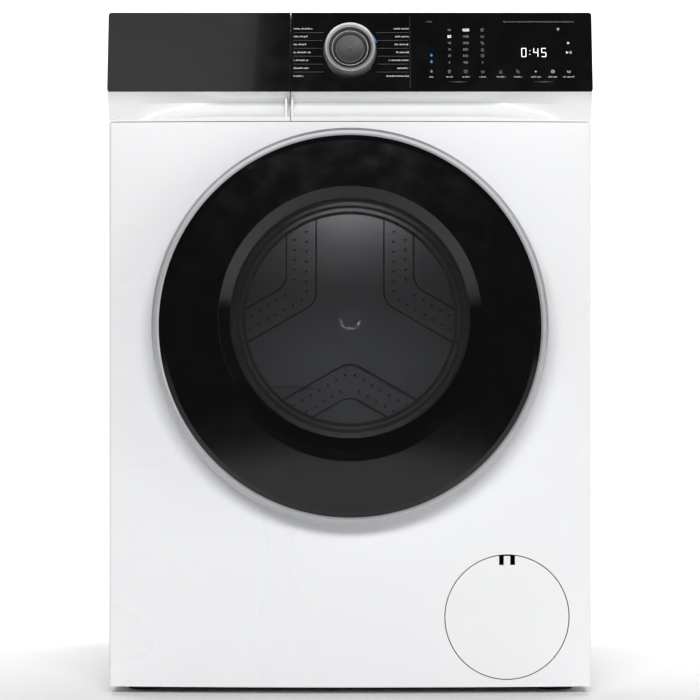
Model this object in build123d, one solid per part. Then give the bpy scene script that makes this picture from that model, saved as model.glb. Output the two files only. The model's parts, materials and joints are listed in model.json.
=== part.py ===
"""Front-loading washing machine, modelled as an assembly of separate pieces, in millimetres.

Frame: +Z up, +X to the machine's right as seen from the front, the front faces -Y.
Origin: on the floor, at the centre of the overall width and the overall depth.
Groups: cabinet and services, control panel, detergent drawer, door, suspended tub, drum and drive, feet.
"""

from build123d import *
import os
from math import atan2, cos, degrees, pi, radians, sin, sqrt

# ---------------------------------------------------------------- driving dimensions
WIDTH = 598.0  # over the side panels
HEIGHT = 845.0  # floor to the top of the control panel
BODY_DEPTH = 588.0  # rear to the middle of the bowed front
DOOR_PROUD = 44.0  # door face in front of the middle of the front
FRONT_BOW = 10.7  # how far the front panel bows out at its middle
FLOOR_GAP = 10.0  # floor to the cabinet's lower edge
SHEET = 1.0  # cabinet sheet thickness
SEAM = 0.9  # gap between neighbouring outer pieces

PANEL_HEIGHT = 135.0  # front panel's top seam to the top of the machine
FACE_HEIGHT = 100.2  # the black strip, measured upright
FACE_LOW_PROUD = 23.5  # black strip's lower edge in front of the front panel's side edges
FACE_TOP_PROUD = 3.0  # the same at its upper edge
FACE_THICK = 5.0
LIP_HEIGHT = 5.5  # upright strip above the seam, below the hand recess
COVE_FLAT = 145.0  # half length of the constant middle of the hand recess
COVE_END = 278.0  # where the recess has run out

DRAWER_WIDTH = 225.2  # drawer front, from the left side
TRAY_LENGTH = 270.0
TRAY_WALL = 2.0
TRAY_HEIGHT = 58.0

DOOR_R = 243.75  # outer radius of the silver ring
DOOR_RING_WIDTH = 10.3
DOOR_TOP_GAP = 10.3  # door's top edge below the seam
DOOR_THICK = 40.0
WINDOW_RISE = 10.3  # window and drum axis above the door's own centre
RIM_R = 160.6  # outer radius of the sloping window rim
WINDOW_R = 147.0  # clear radius of the window
DOOR_SWING_X = 223.0  # hinge axis left of the machine's middle
DOOR_SWING_Y = 19.0  # hinge axis behind the door face

DISH_R = 200.0  # recessed dish in the front panel
DISH_DEPTH = 14.0
MOUTH_R = 172.0  # hole in the dish

DRUM_R = 247.0
DRUM_DEPTH = 360.0
DRUM_MOUTH_R = 168.0
DRUM_SHEET = 1.0
TUB_GAP = 15.0  # drum to tub, all round
TUB_WALL = 4.0
TUB_SETBACK = 57.0  # tub's front wall behind the middle of the front panel
FLOAT = 8.0  # travel of the suspended group, each way
SHAFT_R = 12.5
RUN_FIT = 0.05  # radial clearance of a running fit
LOOSE = 0.3  # clearance between pieces that move past each other

DRUM_PULLEY_R = 145.0
MOTOR_PULLEY_R = 9.5
BELT_THICK = 3.0
MOTOR_R = 60.0
MOTOR_X = 40.0

KNOB_R = 31.2
KNOB_HEIGHT = 15.0
BUTTON_R = 18.6

FLAP_R = 76.5
FLAP_IN_X = 104.6  # flap centre in from the right side
FLAP_Z = 86.4  # flap centre above the cabinet's lower edge

FOOT_R = 21.0
FOOT_PAD = 8.0
FOOT_STEM_R = 5.0
FOOT_INSET = 40.0

# ---------------------------------------------------------------- places worked out from them
HALF = WIDTH / 2
Y_DOOR = -(BODY_DEPTH + DOOR_PROUD) / 2
Y_FRONT = Y_DOOR + DOOR_PROUD
Y_REAR = -Y_DOOR
Y_EDGE = Y_FRONT + FRONT_BOW
BOW_R = (HALF**2 + FRONT_BOW**2) / (2 * FRONT_BOW)
Z_LOW = FLOOR_GAP
Z_SEAM = HEIGHT - PANEL_HEIGHT
Z_FACE = HEIGHT - FACE_HEIGHT
FACE_ANGLE = degrees(atan2(FACE_LOW_PROUD - FACE_TOP_PROUD, FACE_HEIGHT))
DRAWER_X = -HALF + DRAWER_WIDTH
DOOR_Z = Z_SEAM - DOOR_TOP_GAP - DOOR_R
AXIS_Z = DOOR_Z + WINDOW_RISE
Y_DISH = Y_FRONT + DISH_DEPTH
FLANGE_Y = Y_EDGE + 22.0  # rear edge of the front panel's side flanges
REAR_SHEET_Y = Y_REAR - 4.0  # plain plane of the rear panel, outer face
TOP_THICK = 16.0
Z_TOP_COVER = HEIGHT - TOP_THICK
TOP_FRONT_Y = Y_EDGE + 16.0
TUB_IN_R = DRUM_R + TUB_GAP
TUB_R = TUB_IN_R + TUB_WALL
TUB_FRONT_Y = Y_FRONT + TUB_SETBACK
DRUM_FRONT_Y = TUB_FRONT_Y + 18.0
DRUM_BACK_Y = DRUM_FRONT_Y + DRUM_DEPTH
TUB_BACK_Y = DRUM_BACK_Y + 26.0  # inner face of the tub's rear wall
HUB_END_Y = TUB_BACK_Y + 57.0
PULLEY_Y = HUB_END_Y + 8.0
PULLEY_WIDTH = 14.0
MOTOR_Z = AXIS_Z - sqrt(TUB_R**2 - MOTOR_X**2) - MOTOR_R - 6.0
FLAP_X = HALF - FLAP_IN_X
FLAP_CZ = Z_LOW + FLAP_Z
BOSS_Z = Z_LOW + 6.0  # under face of the foot bosses


# ---------------------------------------------------------------- small makers
def block(x0, x1, y0, y1, z0, z1):
    """Box between two corners."""
    return Pos((x0 + x1) / 2, (y0 + y1) / 2, (z0 + z1) / 2) * Box(x1 - x0, y1 - y0, z1 - z0)


def rod_x(y, z, r, x0, x1):
    return Pos((x0 + x1) / 2, y, z) * Rot(0, 90, 0) * Cylinder(r, x1 - x0)


def rod_y(x, z, r, y0, y1):
    return Pos(x, (y0 + y1) / 2, z) * Rot(90, 0, 0) * Cylinder(r, y1 - y0)


def rod_z(x, y, r, z0, z1):
    return Pos(x, y, (z0 + z1) / 2) * Cylinder(r, z1 - z0)


def ring_y(x, z, r_out, r_in, y0, y1):
    return rod_y(x, z, r_out, y0, y1) - rod_y(x, z, r_in, y0 - 1, y1 + 1)


def turned(points, z=AXIS_Z, x=0.0):
    """Solid of revolution about the Y direction from (radius, y) points."""
    face = make_face(Polyline(*points, close=True))
    return Pos(x, 0, z) * revolve(face, Axis.Y, 360)




def around(shape, count, x=0.0, z=AXIS_Z, start=0.0):
    """Copies of a shape turned about a Y line, as a list."""
    centre = Pos(x, 0, z)
    return [centre * Rot(0, start + 360.0 * i / count, 0) * centre.inverse() * shape for i in range(count)]


def front_y(x):
    """Y of the bowed front surface at x."""
    return Y_FRONT + BOW_R - sqrt(BOW_R**2 - x**2)


def bowed(half, shift, y_back, z0, z1, corner=0.0):
    """Prism whose front face is the bowed front, moved back by shift."""
    y_side = front_y(half) + shift
    outline = [
        ThreePointArc((-half, y_side), (0, Y_FRONT + shift), (half, y_side)),
        Line((half, y_side), (half, y_back)),
        Line((half, y_back), (-half, y_back)),
        Line((-half, y_back), (-half, y_side)),
    ]
    prism = Pos(0, 0, z0) * extrude(make_face(outline), z1 - z0)
    if corner:
        edges = prism.edges().filter_by(Axis.Z).group_by(Axis.Y)[0]
        prism = fillet(edges, corner)
    return prism


def rounded_box(x0, x1, y0, y1, z0, z1, axis, radius):
    """Box with the four edges along one axis rounded."""
    body = block(x0, x1, y0, y1, z0, z1)
    return fillet(body.edges().filter_by(axis), radius)


def on_face(z_up):
    """Location on the sloping black face at height z_up, its z axis square to the face."""
    proud = FACE_LOW_PROUD - (FACE_LOW_PROUD - FACE_TOP_PROUD) * (z_up - Z_FACE) / FACE_HEIGHT
    return Pos(0, Y_EDGE - proud, z_up) * Rot(90 - FACE_ANGLE, 0, 0)


def save(shape, name):
    """Writes one node; a list of shapes becomes a group of separate solids."""
    if isinstance(shape, (list, tuple)):
        solids = [s for piece in shape for s in piece.solids()]
    else:
        solids = list(shape.solids())
    export_step(solids[0] if len(solids) == 1 else Compound(children=solids), f"parts/{name}.step")


# ---------------------------------------------------------------- cabinet
SIDE_FRONT_Y = FLANGE_Y + SEAM
SIDE_REAR_Y = REAR_SHEET_Y - SHEET
SIDE_TOP_Z = Z_TOP_COVER - 0.6
SIDE_FLANGE = 24.0
FIELD_DEPTH = 2.0  # pressed field in the side walls
FIELD_MARGIN = 62.0
REAR_SCREW_R = 2.0
REAR_SCREW_X = HALF - 11.0
REAR_SCREW_Z = (Z_LOW + 60.0, (Z_LOW + Z_TOP_COVER) / 2, Z_TOP_COVER - 60.0)


def side_panel():
    """Left side panel: a sheet with four inward flanges and a shallow pressed field."""
    outer = rounded_box(-HALF, -HALF + SIDE_FLANGE, SIDE_FRONT_Y, SIDE_REAR_Y, Z_LOW, SIDE_TOP_Z, Axis.Z,
                        1.5)
    inner = block(-HALF + SHEET, -HALF + SIDE_FLANGE + 1, SIDE_FRONT_Y + SHEET, SIDE_REAR_Y - SHEET,
                  Z_LOW + SHEET, SIDE_TOP_Z - SHEET)
    y0, y1 = SIDE_FRONT_Y + FIELD_MARGIN, SIDE_REAR_Y - FIELD_MARGIN
    z0, z1 = Z_LOW + FIELD_MARGIN, SIDE_TOP_Z - FIELD_MARGIN
    x_floor = -HALF + FIELD_DEPTH
    back = rounded_box(-HALF, x_floor + SHEET, y0 - SHEET, y1 + SHEET, z0 - SHEET, z1 + SHEET, Axis.X,
                       45 + SHEET)
    field = rounded_box(-HALF - 1, x_floor, y0, y1, z0, z1, Axis.X, 45)
    panel = (outer - inner) + back - field
    for z in REAR_SCREW_Z:
        panel -= rod_y(-REAR_SCREW_X, z, REAR_SCREW_R + 0.2, SIDE_REAR_Y - 3, SIDE_REAR_Y + 3)
    return panel


BELT_WINDOW_X = 190.0  # half width of the rear panel's bulge over the belt
VALVE_X = -HALF + 105.0
VALVE_Z = Z_TOP_COVER - 60.0
POCKET_DEPTH = 16.0
GLAND_X = HALF - 75.0
GLAND_Z = Z_TOP_COVER - 52.0
GLAND_R = 9.0
GLAND_BORE_R = 3.75
OUTLET_X = HALF - 150.0
OUTLET_Z = Z_TOP_COVER - 52.0
OUTLET_R = 10.0
TRANSPORT_R = 13.0
TRANSPORT_SPOTS = [(-216.0, 150.0), (216.0, 150.0), (-216.0, -120.0), (216.0, -120.0)]


def rear_panel():
    """Screwed rear wall: flat sheet, a bulge over the belt, a pocket for the water inlet."""
    y1, y0 = REAR_SHEET_Y, REAR_SHEET_Y - SHEET
    panel = block(-HALF + 2, HALF - 2, y0, y1, Z_LOW + 2, SIDE_TOP_Z - 2)
    half, low, high = BELT_WINDOW_X, Z_LOW + 70, AXIS_Z + DRUM_PULLEY_R + 55
    bulge = rounded_box(-half, half, y1 - 2, Y_REAR, low, high, Axis.Y, 60)
    hollow = rounded_box(-half + SHEET, half - SHEET, y0 - 1, Y_REAR - SHEET, low + SHEET, high - SHEET,
                         Axis.Y, 60 - SHEET)
    panel = panel + bulge - hollow
    x0, x1, z0, z1 = VALVE_X - 40, VALVE_X + 40, VALVE_Z - 28, VALVE_Z + 28
    pocket = rounded_box(x0, x1, y1 - POCKET_DEPTH, y1, z0, z1, Axis.Y, 8)
    recess = rounded_box(x0 + SHEET, x1 - SHEET, y1 - POCKET_DEPTH + SHEET, y1 + 1, z0 + SHEET, z1 - SHEET,
                         Axis.Y, 8 - SHEET)
    panel = panel + pocket - recess
    panel -= rod_y(VALVE_X, VALVE_Z, 15.0, y1 - POCKET_DEPTH - 2, y1)
    panel -= rod_y(GLAND_X, GLAND_Z, GLAND_R + 0.1, y0 - 2, y1 + 2)
    panel -= rod_y(OUTLET_X, OUTLET_Z, OUTLET_R + 2.4, y0 - 2, y1 + 2)
    for x, dz in TRANSPORT_SPOTS:
        panel -= rod_y(x, AXIS_Z + dz, TRANSPORT_R + 0.1, y0 - 2, y1 + 2)
    for side in (-1, 1):
        for z in REAR_SCREW_Z:
            panel -= rod_y(side * REAR_SCREW_X, z, REAR_SCREW_R + 0.2, y0 - 2, y1 + 2)
    for i in range(9):
        z = Z_TOP_COVER - 125 + i * 9.0
        panel -= rounded_box(-60, 60, y0 - 6, y1 + 6, z, z + 4, Axis.Y, 1.9)
    return panel


def transport_caps():
    """Plastic plugs in the four holes of the transport bolts."""
    caps = []
    for x, dz in TRANSPORT_SPOTS:
        z = AXIS_Z + dz
        head = turned([(0, REAR_SHEET_Y + 0.1), (TRANSPORT_R + 4, REAR_SHEET_Y + 0.1),
                       (TRANSPORT_R + 4, Y_REAR - 1.2),
                       (TRANSPORT_R + 2, Y_REAR - 0.2), (0, Y_REAR - 0.2)], z, x)
        plug = ring_y(x, z, TRANSPORT_R, TRANSPORT_R - 2, REAR_SHEET_Y - 12, REAR_SHEET_Y + 0.1)
        slot = block(x - 8, x + 8, Y_REAR - 1.4, Y_REAR, z - 1.2, z + 1.2)
        caps.append(head + plug - slot)
    return caps


LOCK_SLOT_X = 208.0  # latch slot in the front panel, from its inner end
LOCK_SLOT_W = 20.0
HINGE_X = -DOOR_SWING_X
HINGE_Y = Y_DOOR + DOOR_SWING_Y


def front_panel():
    """Bowed sheet front with a dished door mouth, a service flap hole and a latch slot."""
    skin = bowed(HALF, 0, FLANGE_Y, Z_LOW, Z_SEAM - SEAM, 4.0)
    hollow = bowed(HALF - SHEET, SHEET, FLANGE_Y + 1, Z_LOW + SHEET, Z_SEAM - SEAM - SHEET, 3.0)
    wall = ring_y(0, AXIS_Z, DISH_R + SHEET, DISH_R, Y_FRONT - 2, Y_DISH + SHEET) & skin
    panel = skin - hollow - rod_y(0, AXIS_Z, DISH_R + SHEET / 2, Y_FRONT - 2, Y_DISH + 5)
    panel += wall
    panel += ring_y(0, AXIS_Z, DISH_R + SHEET, MOUTH_R, Y_DISH, Y_DISH + SHEET)
    panel += ring_y(0, AXIS_Z, MOUTH_R + SHEET, MOUTH_R, Y_DISH, Y_DISH + 9)
    panel -= rod_y(FLAP_X, FLAP_CZ, FLAP_R + SEAM + 0.3, Y_FRONT - 2, FLANGE_Y)
    panel -= block(LOCK_SLOT_X, LOCK_SLOT_X + LOCK_SLOT_W, Y_FRONT - 2, FLANGE_Y, DOOR_Z - 10, DOOR_Z + 10)
    return panel


def top_cover():
    """Worktop board with softened edges."""
    board = block(-HALF, HALF, TOP_FRONT_Y + SEAM, Y_REAR - 1, Z_TOP_COVER, HEIGHT)
    board = fillet(board.edges().filter_by(Axis.Z), 6.0)
    board = fillet(board.faces().sort_by(Axis.Z)[-1].edges(), 2.5)
    rim = block(-HALF + 14, HALF - 14, TOP_FRONT_Y + 14, Y_REAR - 14, Z_TOP_COVER - 1, Z_TOP_COVER + 5)
    return board - rim


FOOT_SPOTS = {
    "foot_front_left": (-HALF + FOOT_INSET, FLANGE_Y + FOOT_INSET),
    "foot_front_right": (HALF - FOOT_INSET, FLANGE_Y + FOOT_INSET),
    "foot_rear_left": (-HALF + FOOT_INSET, SIDE_REAR_Y - FOOT_INSET),
    "foot_rear_right": (HALF - FOOT_INSET, SIDE_REAR_Y - FOOT_INSET),
}
DAMPER_X = 180.0
DAMPER_Y = 25.0
DAMPER_BASE_Z = Z_LOW + 32.0
BASE_X = HALF - SIDE_FLANGE - 1.0


def base_tray():
    """Moulded floor: a shallow tray with ribs, four foot bosses and two damper forks."""
    y0, y1 = FLANGE_Y + 1.5, SIDE_REAR_Y - 2.5
    tray = block(-BASE_X, BASE_X, y0, y1, Z_LOW + SHEET, Z_LOW + 22)
    tray -= block(-BASE_X + 3, BASE_X - 3, y0 + 3, y1 - 3, Z_LOW + 3, Z_LOW + 23)
    for i in range(-2, 3):
        tray += block(i * 90 - 1.5, i * 90 + 1.5, y0 + 3, y1 - 3, Z_LOW + 3, Z_LOW + 14)
    for x, y in FOOT_SPOTS.values():
        tray += rod_z(x, y, FOOT_R + 8, Z_LOW + SHEET, Z_LOW + 22)
    for x, y in FOOT_SPOTS.values():
        tray -= rod_z(x, y, FOOT_R + 5, Z_LOW - 1, BOSS_Z)
        tray -= rod_z(x, y, FOOT_STEM_R + LOOSE, Z_LOW, Z_LOW + 30)
    for side in (-1, 1):
        x = side * DAMPER_X
        for dy in (-15.5, 12.5):
            fork = block(x - 12, x + 12, DAMPER_Y + dy, DAMPER_Y + dy + 3, Z_LOW + 3, DAMPER_BASE_Z + 10)
            tray += fork - rod_y(x, DAMPER_BASE_Z, 4.0, DAMPER_Y - 20, DAMPER_Y + 20)
    return tray


def foot(x, y):
    """Levelling foot: moulded pad on a threaded stem."""
    pad = rod_z(x, y, FOOT_R, 0, FOOT_PAD)
    pad = chamfer(pad.edges().group_by(Axis.Z)[-1], 2.0)
    hexagon = extrude(RegularPolygon(9.5, 6), 4.5)
    return pad + Pos(x, y, FOOT_PAD) * hexagon + rod_z(x, y, FOOT_STEM_R, FOOT_PAD, BOSS_Z + 44)


RAIL_TOP_Z = SIDE_TOP_Z - SHEET
RAIL_HEIGHT = 24.0
FRONT_RAIL_HEIGHT = 12.0
RAIL_SHEET = 1.5
SPRING_X = TUB_R - 8.0
SPRING_Y = 88.0
SPRING_R = 11.0
SPRING_WIRE_R = 2.0
SPRING_PIN_R = 2.4
SPRING_TOP_Z = RAIL_TOP_Z - RAIL_HEIGHT + 5.0  # pin that the spring hangs on
LUG_Z = AXIS_Z + 150.0  # pin on the tub that the spring carries


def cross_braces():
    """Three pressed channel rails that tie the side panels; the middle one carries the springs."""
    rails = []
    half = HALF - SHEET
    for y, wide, high in ((FLANGE_Y + 8, 26.0, FRONT_RAIL_HEIGHT), (SPRING_Y - 18, 36.0, RAIL_HEIGHT),
                          (SIDE_REAR_Y - 44, 30.0, RAIL_HEIGHT)):
        rail = block(-half, half, y, y + wide, RAIL_TOP_Z - high, RAIL_TOP_Z)
        rail -= block(-half - 1, half + 1, y + RAIL_SHEET, y + wide - RAIL_SHEET,
                      RAIL_TOP_Z - high - 1, RAIL_TOP_Z - RAIL_SHEET)
        rails.append(rail)
    for side in (-1, 1):
        x = side * SPRING_X
        rails[1] += rod_y(x, SPRING_TOP_Z, SPRING_PIN_R, SPRING_Y - 17, SPRING_Y + 17)
    return rails


def suspension_springs():
    """Two coil springs between the middle rail and the tub's lugs, with a hook at each end."""
    springs = []
    low, high = LUG_Z + 16.0, SPRING_TOP_Z - 16.0
    turns = 18
    for side in (-1, 1):
        coil = Helix((high - low) / turns, high - low, SPRING_R)
        wire = Plane(origin=coil @ 0, z_dir=coil % 0) * Circle(SPRING_WIRE_R)
        body = Pos(side * SPRING_X, SPRING_Y, low) * sweep(wire, path=coil)
        for z_pin, z_end, turn in ((SPRING_TOP_Z, high, 1), (LUG_Z, low, -1)):
            loop = Torus(SPRING_PIN_R + SPRING_WIRE_R + LOOSE, SPRING_WIRE_R)
            eye = Pos(side * SPRING_X, SPRING_Y, z_pin) * Rot(90, 0, 0) * loop
            arm_x = side * SPRING_X
            z_near = z_pin - turn * (SPRING_PIN_R + SPRING_WIRE_R + LOOSE)
            stem = rod_z(arm_x, SPRING_Y, SPRING_WIRE_R, min(z_near, z_end), max(z_near, z_end))
            foot_bar = rod_x(SPRING_Y, z_end, SPRING_WIRE_R, arm_x, arm_x + SPRING_R)
            body = body + eye + stem + foot_bar
        springs.append(body)
    return springs


def foot_lock_nuts():
    """Lock nuts that jam the foot stems, one above each boss."""
    nuts = []
    for x, y in FOOT_SPOTS.values():
        nut = Pos(x, y, Z_LOW + 22) * extrude(RegularPolygon(9.5, 6), 6.0)
        nuts.append(nut - rod_z(x, y, FOOT_STEM_R + LOOSE, Z_LOW, Z_LOW + 40))
    return nuts


def cabinet_screws():
    """Screws of the rear panel."""
    screws = []
    for side in (-1, 1):
        for z in REAR_SCREW_Z:
            x = side * REAR_SCREW_X
            head = turned([(0, REAR_SHEET_Y), (4.5, REAR_SHEET_Y), (4.5, REAR_SHEET_Y + 1.6),
                           (2.5, REAR_SHEET_Y + 2.8), (0, REAR_SHEET_Y + 2.8)], z, x)
            head -= block(x - 3, x + 3, REAR_SHEET_Y + 1.6, REAR_SHEET_Y + 4, z - 0.6, z + 0.6)
            screws.append(head + rod_y(x, z, REAR_SCREW_R, REAR_SHEET_Y - 12, REAR_SHEET_Y))
    return screws


# ---------------------------------------------------------------- control panel
MOULD = 2.5  # wall of the white mouldings
FRAME_Y = FLANGE_Y - 3.3  # front of the frame behind the drawer
FRAME_THICK = 3.0
HOUSING_X0, HOUSING_X1 = -272.0, -86.0
HOUSING_Z0, HOUSING_Z1 = 735.0, 807.0
HOUSING_REAR_Y = 50.0
HOUSING_WALL = 2.5
TRAY_SIDE_GAP = 1.2
FACE_BACK = FACE_THICK / cos(radians(FACE_ANGLE))


def blend(x):
    """1 along the constant middle of the hand recess, 0 where it has run out."""
    t = min(max((COVE_END - abs(x)) / (COVE_END - COVE_FLAT), 0.0), 1.0)
    return t * t * (3 - 2 * t)


def mix(a, b, t):
    return a + (b - a) * t


def cove_section(x):
    """Closed outline of the cove at x, as seen from the side: lip, sweep, ceiling and the wall behind."""
    t = blend(x)
    y_lip = front_y(x)
    ridge = (y_lip, Z_SEAM + mix(2.6, LIP_HEIGHT, t))
    deep = (Y_EDGE - mix(9.5, -15.0, t), Z_SEAM + mix(21.0, 25.5, t))
    low_mid = (mix(Y_EDGE - 4.6, Y_EDGE + 8.5, t), Z_SEAM + mix(12.0, 13.5, t))
    top = (Y_EDGE - FACE_LOW_PROUD, Z_FACE)
    high_mid = (Y_EDGE - mix(15.6, 5.0, t), Z_SEAM + mix(29.0, 31.5, t))
    back = (top[0] + FACE_BACK + MOULD, Z_FACE)
    rear_y = mix(Y_EDGE + 3.5, Y_EDGE + 15.0 + MOULD, t)
    behind = (rear_y, deep[1] + MOULD + mix(6.0, 3.0, t))
    rear = (rear_y, Z_SEAM)
    plane = Plane(origin=(x, 0, 0), x_dir=(0, 1, 0), z_dir=(1, 0, 0))
    outline = [
        Line((y_lip, Z_SEAM), ridge),
        ThreePointArc(ridge, low_mid, deep),
        ThreePointArc(deep, high_mid, top),
        Line(top, back),
        Line(back, behind),
        Line(behind, rear),
        Line(rear, (y_lip, Z_SEAM)),
    ]
    return plane * make_face(outline)


def cove():
    """White cove below the black strip, deep in the middle and running out towards the ends."""
    half = HALF - 0.01
    span = COVE_END - COVE_FLAT
    right = [COVE_FLAT + span * k / 10 for k in range(11)] + [half]
    places = [-x for x in reversed(right)] + [-COVE_FLAT / 2, 0.0, COVE_FLAT / 2] + right
    return loft([cove_section(x) for x in places], ruled=True)


def strip(x0, x1):
    """Part of the black strip between two places along its length, outer corners rounded."""
    low, high = Y_EDGE - FACE_LOW_PROUD, Y_EDGE - FACE_TOP_PROUD
    outline = [(low, Z_FACE), (low + FACE_BACK, Z_FACE), (high + FACE_BACK, HEIGHT), (high, HEIGHT)]
    plane = Plane(origin=(-HALF, 0, 0), x_dir=(0, 1, 0), z_dir=(1, 0, 0))
    whole = extrude(plane * make_face(Polyline(*outline, close=True)), WIDTH)
    tall = FACE_HEIGHT / cos(radians(FACE_ANGLE))
    mask = on_face(Z_FACE + FACE_HEIGHT / 2) * extrude(RectangleRounded(WIDTH, tall, 4.0), 30, both=True)
    whole = whole & mask
    whole = chamfer(whole.faces().sort_by(Axis.Y)[0].edges().filter_by(lambda e: e.length > 20), 0.8)
    return whole & block(x0, x1, Y_EDGE - 60, Y_EDGE + 60, Z_FACE - 20, HEIGHT + 20)


def backing(x0, x1, y_back):
    """Thin shell behind the black strip: front wall, roof and two end walls, open at the rear."""
    low, high = Y_EDGE - FACE_LOW_PROUD + FACE_BACK, Y_EDGE - FACE_TOP_PROUD + FACE_BACK
    plane = Plane(origin=(x0, 0, 0), x_dir=(0, 1, 0), z_dir=(1, 0, 0))
    outer = [(low, Z_FACE), (high, HEIGHT), (y_back, HEIGHT), (y_back, Z_FACE)]
    inner = [(low + MOULD, Z_FACE - 1), (high + MOULD, HEIGHT - MOULD), (y_back + 1, HEIGHT - MOULD),
             (y_back + 1, Z_FACE - 1)]
    shell = extrude(plane * make_face(Polyline(*outer, close=True)), x1 - x0)
    hollow = Pos(MOULD, 0, 0) * extrude(plane * make_face(Polyline(*inner, close=True)),
                                        x1 - x0 - 2 * MOULD)
    return shell - hollow


DRAWER_BACK_Y = FRAME_Y - 0.6
BOARD_X = (DRAWER_X + 30, HALF - 30)
KNOB_Z = HEIGHT - 48.0
WELL_R = KNOB_R - 7.0  # collar of the moulding that carries the ring


def control_panel(white_cove):
    """White moulding: cove, backing of the black strip, and the frame around the drawer."""
    x0 = DRAWER_X + SEAM
    body = white_cove & block(x0, HALF, Y_EDGE - 60, Y_EDGE + 60, Z_SEAM - 1, Z_FACE + 1)
    body += backing(x0, HALF, TOP_FRONT_Y)
    frame = block(-HALF + 1, x0 + MOULD, FRAME_Y, FRAME_Y + FRAME_THICK, Z_SEAM, Z_TOP_COVER - 1)
    frame -= rounded_box(HOUSING_X0 + HOUSING_WALL - 0.5, HOUSING_X1 - HOUSING_WALL + 0.5, FRAME_Y - 1,
                         FRAME_Y + FRAME_THICK + 1, HOUSING_Z0 + HOUSING_WALL, HOUSING_Z1 - HOUSING_WALL,
                         Axis.Y, 4)
    body += frame
    body += block(x0, HALF - 1, FRAME_Y, FRAME_Y + FRAME_THICK, Z_SEAM, Z_SEAM + 8)
    body += block(x0, x0 + MOULD, Y_EDGE - 2, FRAME_Y + 1, Z_SEAM + 2, Z_FACE)
    return body


def knob_place():
    return on_face(KNOB_Z)


def knob_bore(shape, radius):
    """Cuts the knob's round opening through a piece of the panel."""
    return shape - knob_place() * extrude(Circle(radius), 40, both=True)


def panel_face():
    """Glossy black strip right of the drawer, with the knob's opening."""
    return knob_bore(strip(DRAWER_X + SEAM, HALF), KNOB_R + LOOSE)


def selector_ring():
    """Bright ring round the selector, its inner flank sloping in."""
    profile = [(KNOB_R - 5, 0.6), (KNOB_R, 0.6), (KNOB_R, KNOB_HEIGHT - 1), (KNOB_R - 1, KNOB_HEIGHT),
               (KNOB_R - 2.7, KNOB_HEIGHT - 0.5), (KNOB_R - 5, KNOB_HEIGHT - 3)]
    face = Plane.XZ * make_face(Polyline(*profile, close=True))
    return knob_place() * revolve(face, Axis.Z, 360)


def selector_dial():
    """Dark cone inside the ring, with a tube behind that turns in the board's encoder."""
    r = KNOB_R - 5
    profile = [(r, 0.6), (r, KNOB_HEIGHT - 3), (r - 4, KNOB_HEIGHT - 6), (BUTTON_R + 0.4, KNOB_HEIGHT - 7),
               (BUTTON_R + 0.4, -16.0), (WELL_R - 2, -16.0), (WELL_R - 2, 0.6)]
    face = Plane.XZ * make_face(Polyline(*profile, close=True))
    return knob_place() * revolve(face, Axis.Z, 360)


def power_button():
    """Dished round push button in the middle of the selector."""
    dish_r = 120.0
    top = KNOB_HEIGHT - 7.5
    body = Pos(0, 0, -6) * Cylinder(BUTTON_R, top + 6, align=(Align.CENTER, Align.CENTER, Align.MIN))
    body = fillet(body.edges().group_by(Axis.Z)[-1], 0.8)
    body -= Pos(0, 0, top - 1.2 + dish_r) * Sphere(dish_r)
    return knob_place() * body


def control_board():
    """Circuit board behind the black strip, with a display block and an encoder collar."""
    plate = block(BOARD_X[0], BOARD_X[1], TOP_FRONT_Y - 6, TOP_FRONT_Y - 4.4, Z_FACE + 8, Z_TOP_COVER + 6)
    plate = knob_bore(plate, WELL_R + 1)
    lcd = block(95, 270, TOP_FRONT_Y - 12, TOP_FRONT_Y - 6, KNOB_Z - 30, KNOB_Z + 24)
    chips = [block(x, x + 12, TOP_FRONT_Y - 9, TOP_FRONT_Y - 6, Z_FACE + 12, Z_FACE + 24) for x in (45, 65)]
    board = plate + lcd
    for chip in chips:
        board += chip
    return board


# ---------------------------------------------------------------- detergent drawer and water inlet
TRAY_X0, TRAY_X1 = HOUSING_X0 + HOUSING_WALL + TRAY_SIDE_GAP, HOUSING_X1 - HOUSING_WALL - TRAY_SIDE_GAP
TRAY_Z0 = HOUSING_Z0 + HOUSING_WALL + 1.0
TRAY_Y1 = DRAWER_BACK_Y + TRAY_LENGTH
TRAY_SPLITS = (0.36, 0.68)


def drawer_front(white_cove):
    """White part of the drawer front: its share of the cove and the wall behind the black strip."""
    body = white_cove & block(-HALF, DRAWER_X, Y_EDGE - 60, Y_EDGE + 60, Z_SEAM - 1, Z_FACE + 1)
    body += backing(-HALF, DRAWER_X, TOP_FRONT_Y)
    for x in (-HALF + 4, DRAWER_X - 4 - MOULD):
        body += block(x, x + MOULD, Y_EDGE - 2, DRAWER_BACK_Y, Z_SEAM + 3, Z_FACE + 2)
    plate = block(TRAY_X0, TRAY_X1, DRAWER_BACK_Y - MOULD, DRAWER_BACK_Y, Z_SEAM + 20,
                  TRAY_Z0 + TRAY_HEIGHT)
    return body + plate


def drawer_tray():
    """Three-compartment tray that slides in the housing."""
    x0, x1, z0, z1 = TRAY_X0, TRAY_X1, TRAY_Z0, TRAY_Z0 + TRAY_HEIGHT
    tray = rounded_box(x0, x1, DRAWER_BACK_Y, TRAY_Y1, z0, z1, Axis.Z, 2.0)
    width = x1 - x0
    cuts = [0.0] + [f * width for f in TRAY_SPLITS] + [width]
    for a, b in zip(cuts, cuts[1:]):
        left = x0 + a + (TRAY_WALL if a == 0 else TRAY_WALL / 2)
        right = x0 + b - (TRAY_WALL if b == width else TRAY_WALL / 2)
        tray -= rounded_box(left, right, DRAWER_BACK_Y + TRAY_WALL, TRAY_Y1 - TRAY_WALL, z0 + TRAY_WALL,
                            z1 + 2,
                            Axis.Z, 4.0)
    return tray


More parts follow.
